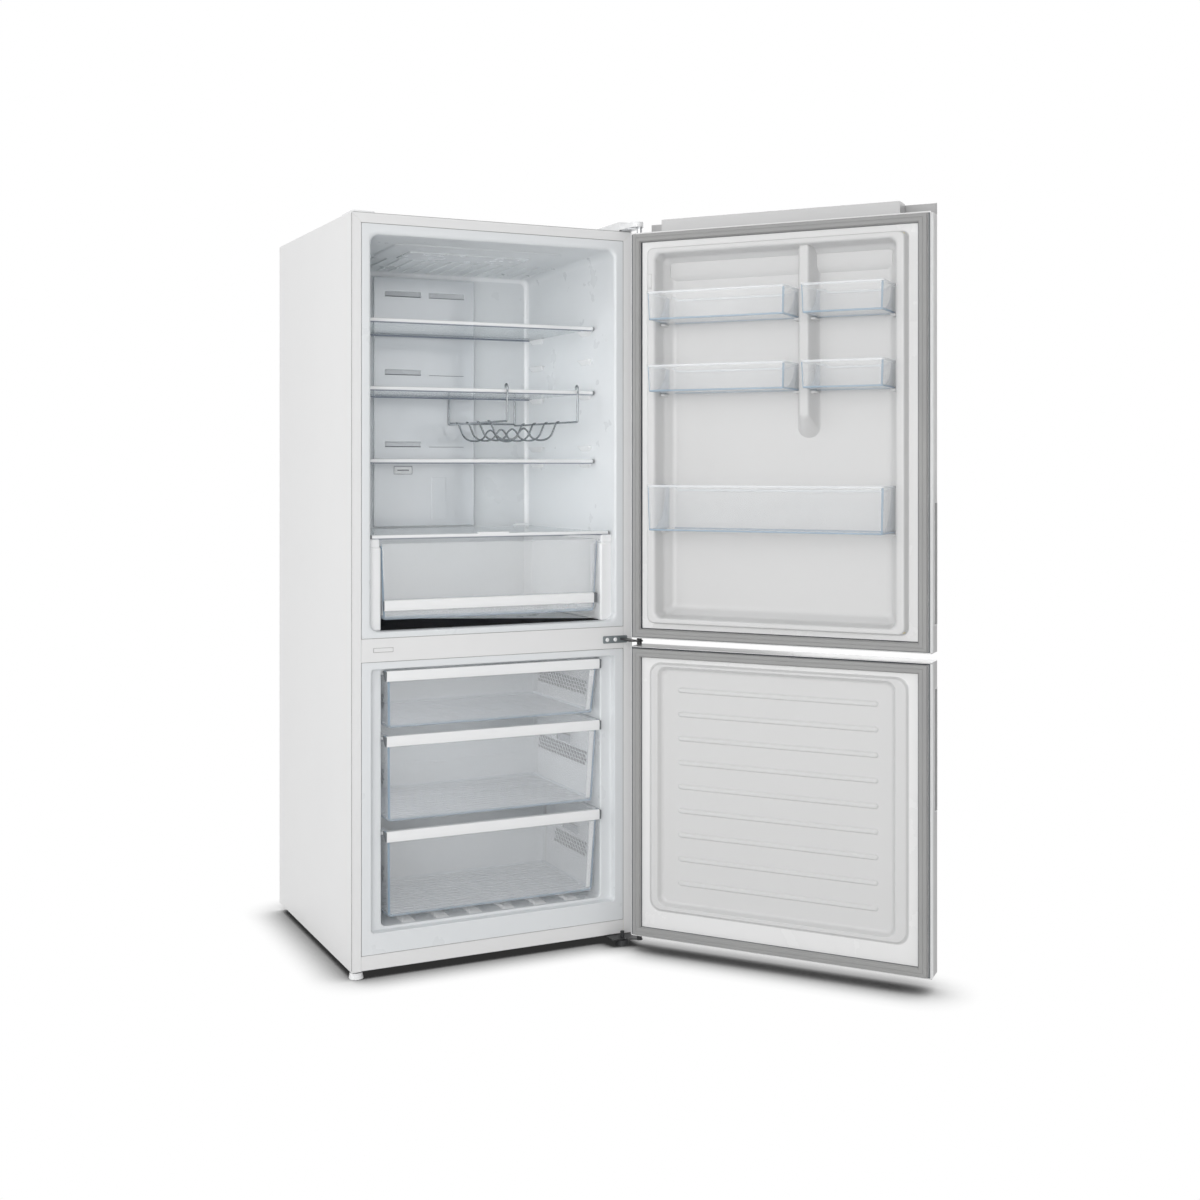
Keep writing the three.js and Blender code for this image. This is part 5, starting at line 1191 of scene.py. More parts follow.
# %% Freezer drawers
FLOOR_RIB_PITCH = 22
BAND_HEIGHT = 26
for drawer in DRAWERS:
    body = f"freezer_drawer_{drawer['number']}"
    z0, z1, back = drawer["z0"], drawer["z1"], drawer["back"]
    box_draft = tub(
        Draft(), (-276, 276, 22.3, back - 5, z0), (-281, 281, 8.6, back - 1, z1), lip=8, fillet=7
    )
    make_piece(
        box_draft, f"{body}_box", [clear_drawer, pale_blue_edge, blue_edge], body, "clear_plastic",
        [f"{body}_tub"], sharp=50,
    )
    lines = Draft()
    for y in range(44, back - 28, FLOOR_RIB_PITCH):
        lines.box(-264, 264, y, y + 6, z0 + 2.4, z0 + 4.5)
    lines.hull(
        [(258, 27, z0 + 9), (269, 27, z0 + 9), (269, 30, z0 + 9), (258, 30, z0 + 9)],
        [(262, 14, z1 - 30), (274, 14, z1 - 30), (274, 17, z1 - 30), (262, 17, z1 - 30)],
        1,
    )
    make_piece(lines, f"{body}_ribs", [rib_line, gloss_white], body, "clear_plastic")
    slots = Draft()
    side_slots(slots, drawer)
    make_piece(slots, f"{body}_slots", [slot_shadow_dark, slot_shade], body, "black_plastic")
    band = Draft()
    band.along_x(band_profile(2.8, z1 - BAND_HEIGHT, z1 - 0.2), -286, 284)
    end_profile = [(4, z1 - 25), (2.5, z1 - 2), (26, z1 - 1), (20, z1 - 12), (8, z1 - 25)]
    for x0, x1 in ((-289, -286), (284, 289)):
        band.along_x(end_profile, x0, x1, 1)
    make_piece(
        band, f"{body}_handle", [gloss_white, grey_moulding_and_shade], body, "white_trim",
        [f"{body}_band"], edge=0.5,
    )

# %% [markdown]
# ### The crisper
#
# The crisper is the same kind of tub, wider and with rounder corners, in a plastic that is a
# little denser. Its band sits low on the front, and an upright rib stiffens each front corner.

# %% Crisper
CRISPER_BAND = [
    (28.4, 868), (22, 868.4), (20.4, 871), (20, 881), (20.4, 891), (22, 893.6), (28.4, 894),
    (28.4, 890), (28.4, 872),
]
CRISPER_BAND_END = [(28.4, 868), (21, 869), (20.5, 893), (28.4, 894)]
crisper = tub(
    Draft(), (-286, 286, 30, 424, 846), (-293.5, 293.5, 28.6, 429, 1030), lip=9, fillet=9, corner=7
)
make_piece(
    crisper, "crisper_box", [crisper_clear, pale_blue_edge, blue_edge], "crisper", "clear_plastic",
    ["crisper_tub"], sharp=50,
)
crisper_ribs = Draft()
for side in (-1, 1):
    x0, x1 = sorted((side * 281, side * 287))
    crisper_ribs.box(x0, x1, 36, 50, 858, 1018)
make_piece(crisper_ribs, "crisper_ribs", [frosted_line], "crisper", "clear_plastic", edge=1)
crisper_handle = Draft()
crisper_handle.along_x(CRISPER_BAND, -286, 277)
crisper_handle.along_x(CRISPER_BAND_END, 277, 286, 1)
crisper_handle.along_x(CRISPER_BAND_END, -286.5, -286, 1)
make_piece(
    crisper_handle, "crisper_handle", [gloss_white, grey_moulding_and_shade], "crisper", "white_trim",
    ["crisper_band"], edge=0.5,
)

# %% [markdown]
# ## Shelves
#
# The shelves are plain glass with a white moulded strip in front, capped in grey, and a thin
# metallic strip behind. A strip could be a bevelled box. As a bar with its own rounded profile it
# keeps the soft highlight of a moulded edge along its whole length.


# %% Shelf strips
BAR_CORNER = 4


def rounded_profile(y0, y1, z0, z1, radius):
    """A rounded (y, z) outline for a bar."""
    row = station(y0, y1, z0, z1, (radius, radius), 0)
    return [(y, z) for y, _, z in ring(row, "xz", BAR_CORNER)]


STRIP_HALF = 317.5
STRIP_END = 320.6
REAR_STRIP_BACK = 502.2


def shelf_strips(name, level, front, depth, half, body, stands_for, rear=True):
    """The front strip, its end caps, a dark line under it that is painted shade, and the rear strip of one shelf.
    """
    middle = level + 2
    foot, top, back = middle - half, middle + half, front + depth
    strips = Draft()
    strips.along_x(
        rounded_profile(front, back, foot, top, half - 0.4), -STRIP_HALF, STRIP_HALF
    )
    # Painted shade: a thin dark strip along the foot of the front strip.
    strips.along_x(rounded_profile(front + 3, back, foot - 1.8, foot + 0.5, 1), -316, 316, 2)
    for x0, x1 in ((-STRIP_END, -STRIP_HALF), (STRIP_HALF, STRIP_END)):
        strips.along_x(rounded_profile(front + 1, back, foot, top, half - 0.8), x0, x1, 1)
    if rear:
        under = rounded_profile(488, REAR_STRIP_BACK, middle - 5.6, middle - 2.2, 1.4)
        over = rounded_profile(496, REAR_STRIP_BACK, middle + 2.4, middle + 5.2, 1.2)
        for profile in (under, over):
            strips.along_x(profile, -313, 313, 2)
    return make_piece(
        strips, name, [shelf_strip, grey_moulding_and_shade, rear_strip_and_shade_line], body, "shelf_trim", stands_for,
        edge=0.4,
    )


for number, level in zip((1, 2, 3), SHELF_LEVELS):
    shelf = f"shelf_{number}"
    shelf_strips(f"{shelf}_strips", level, 106, 18, 4.8, shelf, [f"{shelf}_trim"])
shelf_strips(
    "crisper_cover_strips", 1045, 20, 16, 4.2, "crisper_cover", ["crisper_cover_trim"], rear=False
)

# %% Grip tab and corner clips of the crisper's cover
cover_tab = Draft()
cover_tab.loft(rings_of([
    station(-42, 42, 21, 34, (4, 3), 1050),
    station(-42, 42, 21, 34, (4, 3), 1053.6),
    station(-40, 40, 22.5, 33, (3, 2), 1054.4),
], "xy", 4))
for x0, x1 in ((-300, -262), (262, 300)):
    cover_tab.box(x0, x1, 478, 494, 1049.2, 1056, 1)
make_piece(
    cover_tab, "crisper_cover_tab", [gloss_white, shelf_strip], "crisper_cover", "shelf_trim",
    edge=0.6,
)

# %% [markdown]
# ### The bottle rack
#
# Bent steel wire: two long hangers hook over the second shelf, and four wavy wires lie across
# them, so that bottles rest side by side. A spline with a round bevel is the natural tool for
# wire. Two more points close to each bend keep it as tight as a bending machine makes it.


# %% Wires
def firm(points, hold=6.0):
    """The points with two more close to each inner one, so that a spline keeps its bends tight."""
    path = [points[0]]
    for before, here, after in zip(points, points[1:], points[2:]):
        here, before, after = Vector(here), Vector(before), Vector(after)
        path.append(tuple(here + (before - here).normalized() * hold))
        path.append(tuple(here))
        path.append(tuple(here + (after - here).normalized() * hold))
    path.append(points[-1])
    return path


def wire_piece(name, radius, runs, material, body):
    """Round wires or tubes through runs of points, as one object."""
    curve = bpy.data.curves.new(name, "CURVE")
    curve.dimensions = "3D"
    curve.bevel_depth = radius * MM
    curve.bevel_resolution = 3
    curve.use_fill_caps = True
    for points in runs:
        line = curve.splines.new("NURBS")
        line.points.add(len(points) - 1)
        for spot, place in zip(line.points, points):
            spot.co = (*at(*place), 1.0)
        line.order_u = 3
        line.use_endpoint_u = True
        line.resolution_u = 6
    curve.materials.append(material)
    obj = bpy.data.objects.new(name, curve)
    bpy.context.scene.collection.objects.link(obj)
    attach(obj, body)
    print(f"{name}: {len(runs)} runs on {body}")
    return obj


# %% Bottle rack
RACK_RAIL = 1332
RACK_BACK = 504.5
WAVE_LOW = RACK_RAIL - 45
WAVE_MIDDLE = RACK_RAIL - 20
runs = []
for x in (70, 270):
    hook = [
        (x, 112, 1416), (x, 113, 1421), (x, 109, 1426), (x, 103, 1426), (x, 98.5, 1421),
        (x, 98.5, 1412),
    ]
    hanger = [(x, 101.5, 1402), (x, 101.5, RACK_RAIL), (x, RACK_BACK, RACK_RAIL)]
    runs.append(hook + firm(hanger + [(x, RACK_BACK, 1403)]))
runs.append([(x, RACK_BACK, RACK_RAIL + 4) for x in (70, 170, 270)])
HALF_WAVE = (
    (66, RACK_RAIL + 3), (74, RACK_RAIL + 4), (80, RACK_RAIL - 12), (92, WAVE_LOW + 6),
    (120, WAVE_LOW - 3), (148, WAVE_LOW + 4), (158, WAVE_MIDDLE - 2),
)
WAVE_CENTRE = 170
WAVE_END = (
    (182, WAVE_MIDDLE - 2), (192, WAVE_LOW + 4), (220, WAVE_LOW - 3), (248, WAVE_LOW + 6),
    (260, RACK_RAIL - 12), (266, RACK_RAIL + 4), (274, RACK_RAIL + 3),
)
for index in range(4):
    y = 220 + 75 * index
    wave = (*HALF_WAVE, (WAVE_CENTRE, WAVE_MIDDLE + 7), *WAVE_END)
    runs.append([(x, y, z) for x, z in wave])
rack = wire_piece("bottle_rack_wires", 2.5, runs, chrome_wire, "shelf_2")
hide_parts("bottle_rack")

# %% [markdown]
# ## Doors
#
# A door's inner face is one formed sheet again. The upper one has a tall raised frame that plugs
# into the compartment, and inside it a deep recess for the bins. Drawing it in rings keeps the
# frame's wall and the recess in one sheet, as on the real door.

# %% Upper door liner
SKIN_EDGE = 373.3
DOOR_FACE = -11.2
FRAME_CREST = 17
RECESS = -48


def border_paint(rows):
    """The flat border of a door's liner, outside its raised frame, gets the lighter copy of its plastic: painted
    light.
    """
    def paint(band, column):
        return 1 if band < 2 and column >= 0 and rows[band + 1][6] < DOOR_FACE + 1.2 else 0
    return paint


upper_skin = Draft()
upper_rows = with_fillets([
    station(-SKIN_EDGE, SKIN_EDGE, 785.4, 1801.6, (3, 3), DOOR_FACE),
    station(-321.5, 321.5, 826, 1759, (17, 15), DOOR_FACE, 3),
    station(-318.5, 318.5, 829, 1756, (16, 14), FRAME_CREST, 5),
    station(-298, 298, 842, 1742, (17, 15), FRAME_CREST, 9),
    station(-292, 292, 846, 1736, (16, 14), -26, 7),
    station(-283, 283, 854, 1726, (14, 12), -35, 6),
    station(-272, 272, 864, 1715, (14, 12), RECESS, 14),
    station(-240, 240, 896, 1680, (10, 10), RECESS),
], steps=5)
upper_skin.loft(
    rings_of(upper_rows, "xz", 9), caps=(False, True), paint=border_paint(upper_rows)
)
make_piece(
    upper_skin, "fridge_door_liner_skin", [door_plastic_shaded, door_border_lit], "fridge_door", "door_liner",
    ["fridge_door_liner"], door=True, facing=(0, 1, 0), wall=SHEET,
)

# %% Upper door core
CORE_OUTER = -77
CORE_X = (-322, 367)
core = Draft()
core.box(*CORE_X, CORE_OUTER, RECESS - 2.5, 789, 1797)
for x0, x1, z0, z1 in (
    (-317, -302, 845, 1730), (302, 317, 845, 1730), (-317, 317, 831, 840), (-317, 317, 1746, 1754),
):
    core.box(x0, x1, RECESS - 2.5, 10, z0, z1)
make_piece(
    core, "fridge_door_core", [foam_core], "fridge_door", "foam", ["fridge_door_foam"], door=True,
    edge=2,
)

# %% [markdown]
# ### Divider, step and lugs
#
# A divider runs down between the wide and the narrow bins and ends in a rounded tongue. On the
# real door it is part of the formed sheet. As a piece of its own it can be drawn in rings that
# lean to one side, and it meets the sheet inside the recess, where the joint doesn't show.

# %% Divider
DIVIDER_TOP = 1750
divider = Draft()
divider.loft(rings_of(with_fillets([
    station(-103, -48, 1284, DIVIDER_TOP, (26, 3), RECESS - 0.5),
    station(-98, -52, 1290, DIVIDER_TOP, (22, 3), -42, 10),
    station(-89, -65, 1332, DIVIDER_TOP, (11, 3), 4, 9),
    station(-79, -75, 1345, DIVIDER_TOP, (1.9, 1), 4),
], steps=5), "xz", 8))
make_piece(
    divider, "fridge_door_divider", [door_plastic_shaded], "fridge_door", "door_liner", door=True
)

# %% Step, switch tab and the lugs that carry the bins
BINS = (
    {"name": "bin_top_wide", "x0": -58, "x1": 290, "z0": 1571, "z1": 1640},
    {"name": "bin_top_narrow", "x0": -290, "x1": -94, "z0": 1571, "z1": 1640},
    {"name": "bin_middle_wide", "x0": -58, "x1": 290, "z0": 1397, "z1": 1462},
    {"name": "bin_middle_narrow", "x0": -290, "x1": -94, "z0": 1397, "z1": 1462},
    {"name": "bin_bottle", "x0": -290, "x1": 290, "z0": 1060, "z1": 1171},
)
STEP_TOP = 1725
details = Draft()
for x0, x1 in ((-279, -88), (-64, 279)):
    details.hull(
        [(x0, -50, 1676), (x1, -50, 1676), (x1, -50, STEP_TOP), (x0, -50, STEP_TOP)],
        [(x0, -38, 1692), (x1, -38, 1692), (x1, -38, STEP_TOP), (x0, -38, STEP_TOP)],
    )
details.hull(
    [(304, 15, 1655), (318, 15, 1655), (318, 15, 1695), (304, 15, 1695)],
    [(306, 19, 1658), (316, 19, 1658), (316, 19, 1692), (306, 19, 1692)],
)
for size in BINS:
    for x, side in ((size["x0"], -1), (size["x1"], 1)):
        reaches_frame = abs(x) > 280
        outer = x + side * (3 if reaches_frame else 8)
        x0, x1 = sorted((outer, x - side * 9))
        details.box(x0, x1, RECESS - 1, -8, size["z0"] - 7, size["z0"] - 0.4)
make_piece(
    details, "fridge_door_details", [door_plastic_shaded], "fridge_door", "door_liner", door=True, edge=3
)

# %% [markdown]
# ### The lower door
#
# The freezer's door is nearly flat: a low raised frame round a shallow recess, which starts well
# above the door's foot, and nine shallow ribs that stiffen it. The ribs could be a bump in the
# material, but their rounded ends catch the light, so they are drawn.

# %% Lower door liner
LOW_FRAME = -5.2
LOW_RECESS = -20.2
lower_skin = Draft()
lower_rows = with_fillets([
    station(-SKIN_EDGE, SKIN_EDGE, 39.2, 764.1, (3, 3), DOOR_FACE),
    station(-321.5, 321.5, 110.5, 728, (30, 30), DOOR_FACE, 3),
    station(-317, 317, 115, 723.5, (27, 27), LOW_FRAME, 3),
    station(-292, 300, 124, 718.5, (22, 22), LOW_FRAME, 3),
    station(-284, 292, 131.5, 710.5, (18, 18), LOW_RECESS, 6),
    station(-257, 265, 158, 684, (8, 8), LOW_RECESS),
], steps=5)
lower_skin.loft(
    rings_of(lower_rows, "xz", 8), caps=(False, True), paint=border_paint(lower_rows)
)
make_piece(
    lower_skin, "freezer_door_liner_skin", [door_plastic_shaded, door_border_lit], "freezer_door",
    "door_liner", ["freezer_door_liner"], door=True, facing=(0, 1, 0), wall=SHEET,
)

# %% Lower door core
LOW_CORE_FACE = -22.5
lower_core = Draft()
lower_core.box(*CORE_X, CORE_OUTER, LOW_CORE_FACE, 43, 760)
for x0, x1, z0, z1 in (
    (-364, -324, 45, 758), (324, 364, 45, 758), (-324, 324, 45, 106), (-324, 324, 732, 758),
):
    lower_core.box(x0, x1, LOW_CORE_FACE, -13.5, z0, z1)
make_piece(
    lower_core, "freezer_door_core", [foam_core], "freezer_door", "foam", ["freezer_door_foam"],
    door=True, edge=2,
)

# %% Lower door ribs
DOOR_RIB_TOP = 661
DOOR_RIB_PITCH = 59.7
DOOR_RIB_CREST = -16.5
door_ribs = Draft()
for index in range(9):
    z = DOOR_RIB_TOP - DOOR_RIB_PITCH * index
    door_ribs.loft(rings_of(with_fillets([
        station(-252, 252, z - 8.0, z + 8.0, (7.9, 7.9), LOW_RECESS - 0.8),
        station(-250, 250, z - 7.0, z + 7.0, (6.9, 6.9), LOW_RECESS, 1.5),
        station(-246, 246, z - 3.4, z + 3.4, (3.3, 3.3), DOOR_RIB_CREST, 1.2),
        station(-243, 243, z - 1.2, z + 1.2, (1.1, 1.1), DOOR_RIB_CREST),
    ], steps=3), "xz", 6))
make_piece(
    door_ribs, "freezer_door_ribs", [door_plastic_shaded], "freezer_door", "door_liner", door=True
)

# %% [markdown]
# ### The doors' sides
#
# A white bead runs down each side of a door, where the liner laps over the steel, and a thin frame
# edges the pocket that the hand pulls at. Next to the gasket lie dark creases, drawn as thin dark
# strips of painted shade. They could be left to the shadows of the render, but they are narrower
# than a soft light can draw.

# %% Rims, grip frames and painted shade in the creases
SIDE_BEAD = [
    (373.0, -12.5), (374.4, -13.5), (374.9, -17), (374.9, -27), (374.4, -30.5), (373.0, -31.5),
]
GRIP_HEIGHT = 283
GRIP_Y = (-72.3, -48.1)
GRIP_RIM = 1.7
CREASE_X = 345.4
CREASE = 2
OUTER_GAP = (367.2, 371.5)
for body, z0, z1, grip_z0 in (("fridge_door", 787, 1799, 849), ("freezer_door", 41, 762, 417.5)):
    rim = Draft()
    for side in (-1, 1):
        rim.loft([[(side * x, y, z) for x, y in SIDE_BEAD] for z in (z0, z1)])
    low, high = grip_z0 - GRIP_RIM, grip_z0 + GRIP_HEIGHT + GRIP_RIM
    y0, y1 = GRIP_Y[0] - GRIP_RIM, GRIP_Y[1] + GRIP_RIM
    for frame_y0, frame_y1, frame_z0, frame_z1 in (
        (y0, GRIP_Y[0], low, high), (GRIP_Y[1], y1, low, high),
        (y0, y1, low, grip_z0), (y0, y1, grip_z0 + GRIP_HEIGHT, high),
    ):
        rim.box(-374.5, -373.4, frame_y0, frame_y1, frame_z0, frame_z1)
    make_piece(rim, f"{body}_side_rims", [gloss_white], body, "white_trim", door=True, sharp=50)

    upper = body == "fridge_door"
    dark, top_line = (1, (z1 - 2.6, z1 - 1, 0)) if upper else (0, (z1 - 1.9, z1 + 0.8, 1))
    inner0, inner1 = z0 + 22.4, z1 - 21.6
    # Painted shade: thin dark strips in the gaps and creases beside the gasket.
    crease_shades = Draft()
    for x0, x1, low, high, tone in (
        (-OUTER_GAP[1], -OUTER_GAP[0], z0 + 2, z1 - 2, 0), (*OUTER_GAP, z0 + 2, z1 - 2, 0),
        (-OUTER_GAP[1], OUTER_GAP[1], z0 + 1, z0 + 2.6, 0),
        (-OUTER_GAP[1], OUTER_GAP[1], *top_line),
        (-CREASE_X, CREASE - CREASE_X, inner0, inner1, 0),
        (CREASE_X - CREASE - dark, CREASE_X, inner0, inner1, dark),
        (-CREASE_X, CREASE_X, inner0, inner0 + 1.8 + dark, dark),
        (-CREASE_X, CREASE_X, inner1 - 1.8, inner1, 0),
    ):
        crease_shades.box(x0, x1, -11.6, -10.4, low, high, tone)
    make_piece(
        crease_shades, f"{body}_gasket_crease_shade", [grey_moulding_and_shade, slot_shadow_dark], body, "gasket_rubber", door=True
    )

# %% [markdown]
# ### Gaskets
#
# A magnetic gasket is an extruded bellows, cut and welded in mitres at the corners. Its section is
# drawn once. Each point of the section becomes a rectangle round the door, and joining the
# rectangles makes the mitres by itself.

# %% Gaskets
GASKET_SECTION = (
    (0, -10.9), (0, -5.5), (1.6, -3.2), (0.8, -1.8), (2.4, -0.8), (8.5, -0.6), (9.6, -1.7),
    (10.8, -0.6), (17.5, -0.8), (19.4, -2.2), (18.6, -4.0), (21, -6.0), (21, -9.0), (17.0, -10.9),
)
GASKET_HALF = 366
for body, z0, z1 in (("fridge_door", 789.5, 1797.5), ("freezer_door", 43.3, 760)):
    loops = []
    for inset, y in GASKET_SECTION:
        x, low, high = GASKET_HALF - inset, z0 + inset, z1 - inset
        loops.append([(-x, y, low), (x, y, low), (x, y, high), (-x, y, high)])
    make_piece(
        Draft().loft(loops, closed=True), f"{body}_seal", [gasket_rubber], body, "gasket_rubber",
        [f"{body}_gasket"], door=True, edge=0.3, sharp=25,
    )

# %% [markdown]
# ## Door bins
#
# The bins are clear and open. Their back wall is cut low so that bottles slide in, the rim is a
# thick bead, and a curved web stiffens each end.

# %% The shape of a bin
BIN_BACK = -46.6
BIN_FRONT = 91.8
DIP_MARKS = (14, 20, 25, 31)
DIP_SHARES = (0.0, 0.12, 0.88, 1.0)
DIP = 0.1
BIN_CORNER = 4


def dip_weight(column):
    """How far a point of the back wall is lowered, from 0 to 1."""
    spot = column - (BIN_CORNER + 1)
    count = 2 * len(DIP_MARKS)
    return DIP_SHARES[min(spot, count - 1 - spot)] if 0 <= spot < count else 0.0


def door_bin(size):
    """A clear bin in rings, out over its rim and down again, with its back wall dipped."""
    x0, x1, z0, z1 = size["x0"], size["x1"], size["z0"], size["z1"]
    back, front = BIN_BACK, BIN_FRONT
    inner = 4 + CLEAR_WALL
    drop = DIP * (z1 - z0)
    rows = with_fillets([
        station(x0 + 9, x1 - 9, back + 6, front - 9, (4, 5), z0),
        station(x0 + 4, x1 - 4, back, front - 4, (4, 7), z0, 3),
        station(x0 + 3.8, x1 - 3.8, back, front - 3.8, (4, 7), z0 + 4.5),
        station(x0 + 1, x1 - 1, back, front - 1, (4, 8), z1 - 5, 0.5),
        station(x0, x1, back, front, (4, 8), z1 - 4, 0.8),
        station(x0, x1, back, front, (4, 8), z1, 1.0),
        station(x0 + 3.2, x1 - 3.2, back + 3.2, front - 3.2, (3, 6), z1, 1.0),
        station(x0 + 3.2, x1 - 3.2, back + 3.2, front - 3.2, (3, 6), z1 - 4, 0.8),
        station(
            x0 + inner, x1 - inner, back + CLEAR_WALL, front - inner, (3, 6), z0 + CLEAR_WALL, 4
        ),
        station(x0 + 20, x1 - 20, back + 18, front - 22, (3, 8), z0 + CLEAR_WALL),
    ])
    loops = []
    for row in rows:
        near_rim = max(0.0, min(1.0, (row[6] - (z0 + 12)) / (z1 - 8 - z0 - 12)))
        one = ring(row, "xy", BIN_CORNER, DIP_MARKS)
        loops.append([
            (x, y, z - drop * dip_weight(i) * near_rim) for i, (x, y, z) in enumerate(one)
        ])
    first_front = 2 * (BIN_CORNER + 1) + 2 * len(DIP_MARKS)
    bright = {first_front + BIN_CORNER // 2 - 1, first_front + BIN_CORNER // 2}
    bright |= {column + BIN_CORNER + 1 for column in bright}

    def paint(band, column):
        """Blue along the foot and the front corners, frosted on the rim."""
        level = 0.5 * (rows[band][6] + rows[band + 1][6])
        if level < z0 + 4.5 and band < 8 and column >= 0:
            return 1
        if column in bright and band < 12:
            return 1
        return 2 if level > z1 - 6 and column >= 0 else 0

    return Draft().loft(loops, paint=paint)


WEB_START = (-42, -16)
WEB_REACH = 92
WEB_STEPS = 8


def end_webs(size):
    """The curved web inside each end of a bin, a quarter of an ellipse cut from a plate."""
    low, high = size["z0"] + 3, size["z1"] - 4
    curve = [(WEB_START[0], low), (WEB_START[0], high)]
    for step in range(WEB_STEPS + 1):
        angle = 0.5 * math.pi * step / WEB_STEPS
        y = WEB_START[1] + WEB_REACH * (1 - math.cos(angle))
        curve.append((y, high - (high - low) * math.sin(angle)))
    webs = Draft()
    for x in (size["x0"] + 9, size["x1"] - 9):
        webs.along_x(curve, x - 1, x + 1)
    return webs


# %% Bins
for size in BINS:
    name = size["name"]
    make_piece(
        door_bin(size), f"{name}_box", [clear_bin, blue_edge, frosted_line], f"{name}_body",
        "clear_plastic", [name], door=True, sharp=50,
    )
    make_piece(
        end_webs(size), f"{name}_webs", [web_blue], f"{name}_body", "clear_plastic", door=True
    )

# %% [markdown]
# ## Hinges, screws and the back
#
# Between the doors a zinc bracket is screwed to the cabinet. It carries a black arm with the pin
# that both doors turn on. Plate and arm are stamped parts with rounded ends, so each is a rounded
# outline with a thickness.

# %% Middle hinge
HINGE_X = 368.5
HINGE_Y = -53.2
ARM_Z = (772.5, 776.5)


def flat_part(draft, outline, radii, levels, tone, corner=6):
    """A rounded outline lying flat, from one level to another: an arm, a collar or a pin."""
    rows = [station(*outline, radii, z) for z in levels]
    draft.loft(rings_of(rows, "xy", corner), paint=lambda band, column: tone)


bracket = Draft()
bracket.loft(rings_of([
    station(291.5, 361, 764.8, 783.6, (3, 3), -0.3),
    station(291.5, 361, 764.8, 783.6, (3, 3), -2.4),
    station(292.5, 360, 765.8, 782.6, (2.5, 2.5), -2.9),
], "xz", 4))
for x in (303, 326):
    bracket.dome((x, -2.9, 774.2), (0, -1, 0), 5.2, 2.4, 1)
flat_part(bracket, (340, 361, -58, -0.6), (9, 1), ARM_Z, 2)
flat_part(bracket, (352, 377, -64, -44), (9.8, 9.8), ARM_Z, 2)
for levels, radius, tone in (((765, 784.7), 6.4, 2), ((753.5, 796), 3.1, 0)):
    outline = (HINGE_X - radius, HINGE_X + radius, HINGE_Y - radius, HINGE_Y + radius)
    flat_part(bracket, outline, (radius, radius), levels, tone, corner=5)
make_piece(
    bracket, "middle_hinge_bracket", [hinge_plate, gloss_white, black_paint], "cabinet",
    "zinc_steel", ["middle_hinge"], edge=0.5,
)

# %% [markdown]
# ### Screws and tubes
#
# Screws hold the top hinge, the rear edge of the top panel and the cover of the machine room.
# Behind that cover the compressor sits with its copper tubes. A screw's head is a low dome, and
# tubes are splines like the rack.

# %% Screws
BACK_FACE = 640.2
HINGE_SCREWS = [((x, y, 1821.3), (0, 0, 1), 4.2, 1.6) for x in (316, 356) for y in (26, 62)]
COVER_SCREWS = [
    ((x, BACK_FACE, z), (0, 1, 0), 4.4, 1.4) for z in (292, 34) for x in (-352, -120, 120, 352)
]
TOP_SCREWS = [((x, BACK_FACE - 0.2, 1806), (0, 1, 0), 4.0, 1.2) for x in (-250, 0, 250)]
screws = Draft()
for place, direction, radius, height in HINGE_SCREWS + COVER_SCREWS + TOP_SCREWS:
    screws.dome(place, direction, radius, height)
make_piece(screws, "case_screws", [zinc_plate], "cabinet", "zinc_steel", sharp=50)

# %% Tubes in the machine room
tube_runs = []
for shift, top in ((0, 250), (14, 232), (-16, 214)):
    tube_runs.append(firm([
        (150 + shift, 470, 120), (150 + shift, 452, 150), (90 + shift, 470, top),
        (-40, 500, top), (-180 - shift, 520, top), (-230 - shift, 560, top - 60),
        (-230 - shift, 600, 90), (-140, 604, 60),
    ], hold=18))
wire_piece("compressor_tubes", 3.0, tube_runs, copper_tube, "cabinet")

# %% [markdown]
# ## The studio
#
# The picture is a catalogue shot: everything round the fridge is white and the light comes from
# all sides. The white is seen by the camera and in reflections only, so that it doesn't burn out
# the object. The floor's white is dimmed close to what stands on it, a painted contact shadow,
# which is what grounds the fridge.

# %% Floor
FLOOR_REACH = 12
CONTACT_REACH = 0.11
CONTACT_SAMPLES = 12
GREY_BOUNCE = (0.8, 0.8, 0.8, 1)
WHITE = (1, 1, 1, 1)


def seen_in_picture(tree):
    """1 where a ray comes from the camera, a reflection or clear plastic, and 0 elsewhere."""
    path = tree.nodes.new("ShaderNodeLightPath")
    seen = tree.nodes.new("ShaderNodeMath")
    any_seen = tree.nodes.new("ShaderNodeMath")
    seen.operation = any_seen.operation = "MAXIMUM"
    link_all(
        tree,
        (path, "Is Camera Ray", seen, 0),
        (path, "Is Glossy Ray", seen, 1),
        (seen, "Value", any_seen, 0),
        (path, "Is Transmission Ray", any_seen, 1),
    )
    return any_seen


floor_mesh = bpy.data.meshes.new("studio_floor")
floor_shape = bmesh.new()
bmesh.ops.create_grid(floor_shape, x_segments=1, y_segments=1, size=FLOOR_REACH)
floor_shape.to_mesh(floor_mesh)
floor_shape.free()
floor = bpy.data.objects.new("studio_floor", floor_mesh)
bpy.context.scene.collection.objects.link(floor)

floor_material = bpy.data.materials.new("studio_floor")
floor_material.use_nodes = True
tree = floor_material.node_tree
tree.nodes.clear()
surface = tree.nodes.new("ShaderNodeOutputMaterial")
blend = tree.nodes.new("ShaderNodeMixShader")
bounce = add_node(tree, "ShaderNodeBsdfDiffuse", Color=GREY_BOUNCE)
white_floor = tree.nodes.new("ShaderNodeEmission")
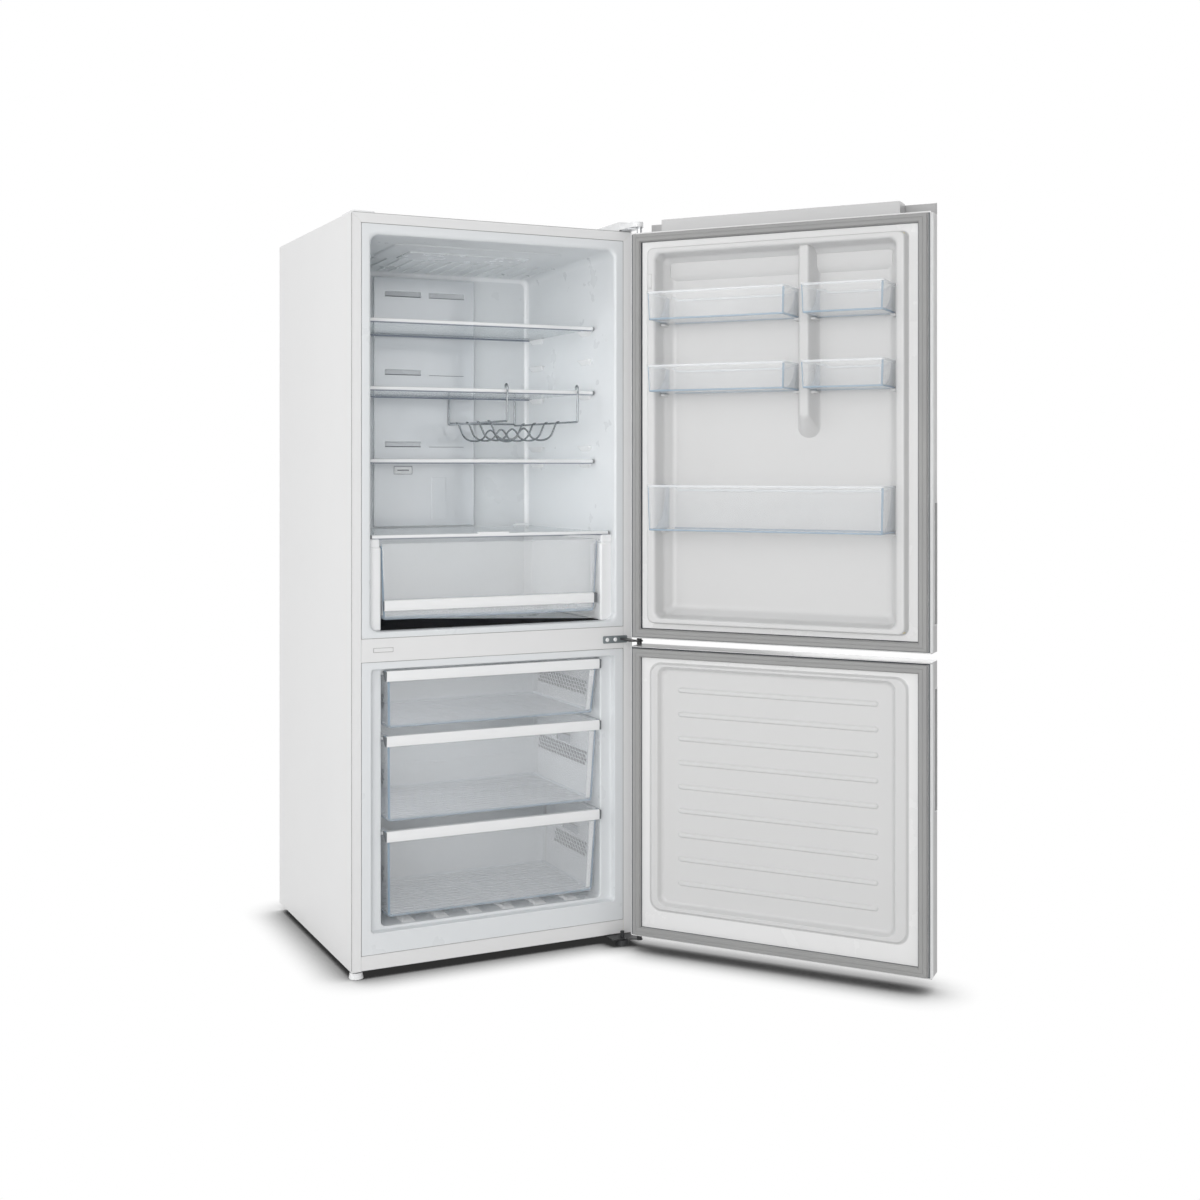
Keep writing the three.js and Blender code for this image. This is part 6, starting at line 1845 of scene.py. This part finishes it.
# Painted shadow: ambient occlusion dims the floor's white glow close to the fridge.
contact = add_node(tree, "ShaderNodeAmbientOcclusion", Distance=CONTACT_REACH)
contact.samples = CONTACT_SAMPLES
contact_curve = add_node(
    tree, "ShaderNodeMapRange", From_Min=0.36, From_Max=0.97, To_Min=0.03, To_Max=1.0
)
link_all(
    tree,
    (contact, "AO", contact_curve, "Value"),
    (contact_curve, "Result", white_floor, "Strength"),
    (seen_in_picture(tree), "Value", blend, 0),
    (bounce, "BSDF", blend, 1),
    (white_floor, "Emission", blend, 2),
    (blend, "Shader", surface, "Surface"),
)
floor_mesh.materials.append(floor_material)
print("floor reaches", FLOOR_REACH, "m to each side")

# %% [markdown]
# ### The white surroundings
#
# A photographer would hang white paper on every side. A world that is plain white to the camera
# does the same. What it sheds on the fridge is kept apart from that: a little more from the left
# than from the right, as in the picture.

# %% White surroundings
FILL_LEFT = 0.66
FILL_RIGHT = 0.47
world = bpy.data.worlds.new("studio")
bpy.context.scene.world = world
world.use_nodes = True
sky = world.node_tree
sky.nodes.clear()
sky_out = sky.nodes.new("ShaderNodeOutputWorld")
sky_blend = sky.nodes.new("ShaderNodeMixShader")
fill_light = add_node(sky, "ShaderNodeBackground", Color=WHITE)
backdrop = add_node(sky, "ShaderNodeBackground", Color=WHITE, Strength=1.0)
sky_place = sky.nodes.new("ShaderNodeTexCoord")
sky_axes = sky.nodes.new("ShaderNodeSeparateXYZ")
sky_side = add_node(
    sky, "ShaderNodeMapRange", From_Min=-1.0, To_Min=FILL_LEFT, To_Max=FILL_RIGHT
)
link_all(
    sky,
    (sky_place, "Generated", sky_axes, "Vector"),
    (sky_axes, "X", sky_side, "Value"),
    (sky_side, "Result", fill_light, "Strength"),
    (seen_in_picture(sky), "Value", sky_blend, 0),
    (fill_light, "Background", sky_blend, 1),
    (backdrop, "Background", sky_blend, 2),
    (sky_blend, "Shader", sky_out, "Surface"),
)
print("fill light from", FILL_LEFT, "on the left to", FILL_RIGHT, "on the right")

# %% [markdown]
# ### The lamps
#
# A large soft lamp in front and one on the left shape the white panels, and one behind keeps the
# rear from going flat. The two compartments would be dark caves under these alone, so each gets a
# small glow at its left wall. Those two stay out of the picture and out of reflections.

# %% Lamps
STUDIO_LAMPS = (
    ("front_lamp", (-2.5, -3.6, 1.5), (-0.1, -0.1, 0.95), (2.4, 2.4), 67),
    ("left_lamp", (-3.8, -0.6, 2.5), (0.0, 0.2, 1.2), (2.4, 2.4), 24),
    ("back_lamp", (3.3, 2.2, 2.2), (0.1, 0.3, 1.0), (2.4, 2.4), 30),
)
GLOWS = (
    ("fridge_glow", (-0.52, 0.29, 1.27), (0.08, 0.29, 1.27), (0.30, 0.74), 1.15),
    ("freezer_glow", (-0.505, 0.20, 0.50), (0.03, 0.20, 0.50), (0.30, 0.36), 0.45),
)
GLOW_SPREAD = math.radians(110)


def soft_lamp(name, place, target, size, watts):
    """A soft lamp that looks at a target. size is its width and height in metres."""
    data = bpy.data.lights.new(name, "AREA")
    data.shape = "RECTANGLE"
    data.size, data.size_y = size
    data.energy = watts
    lamp = bpy.data.objects.new(name, data)
    bpy.context.scene.collection.objects.link(lamp)
    lamp.location = place
    lamp.rotation_euler = (Vector(target) - Vector(place)).to_track_quat("-Z", "Y").to_euler()
    return lamp


for values in STUDIO_LAMPS:
    soft_lamp(*values)
for values in GLOWS:
    glow = soft_lamp(*values)
    glow.data.spread = GLOW_SPREAD
    glow.visible_camera = False
    glow.visible_glossy = False
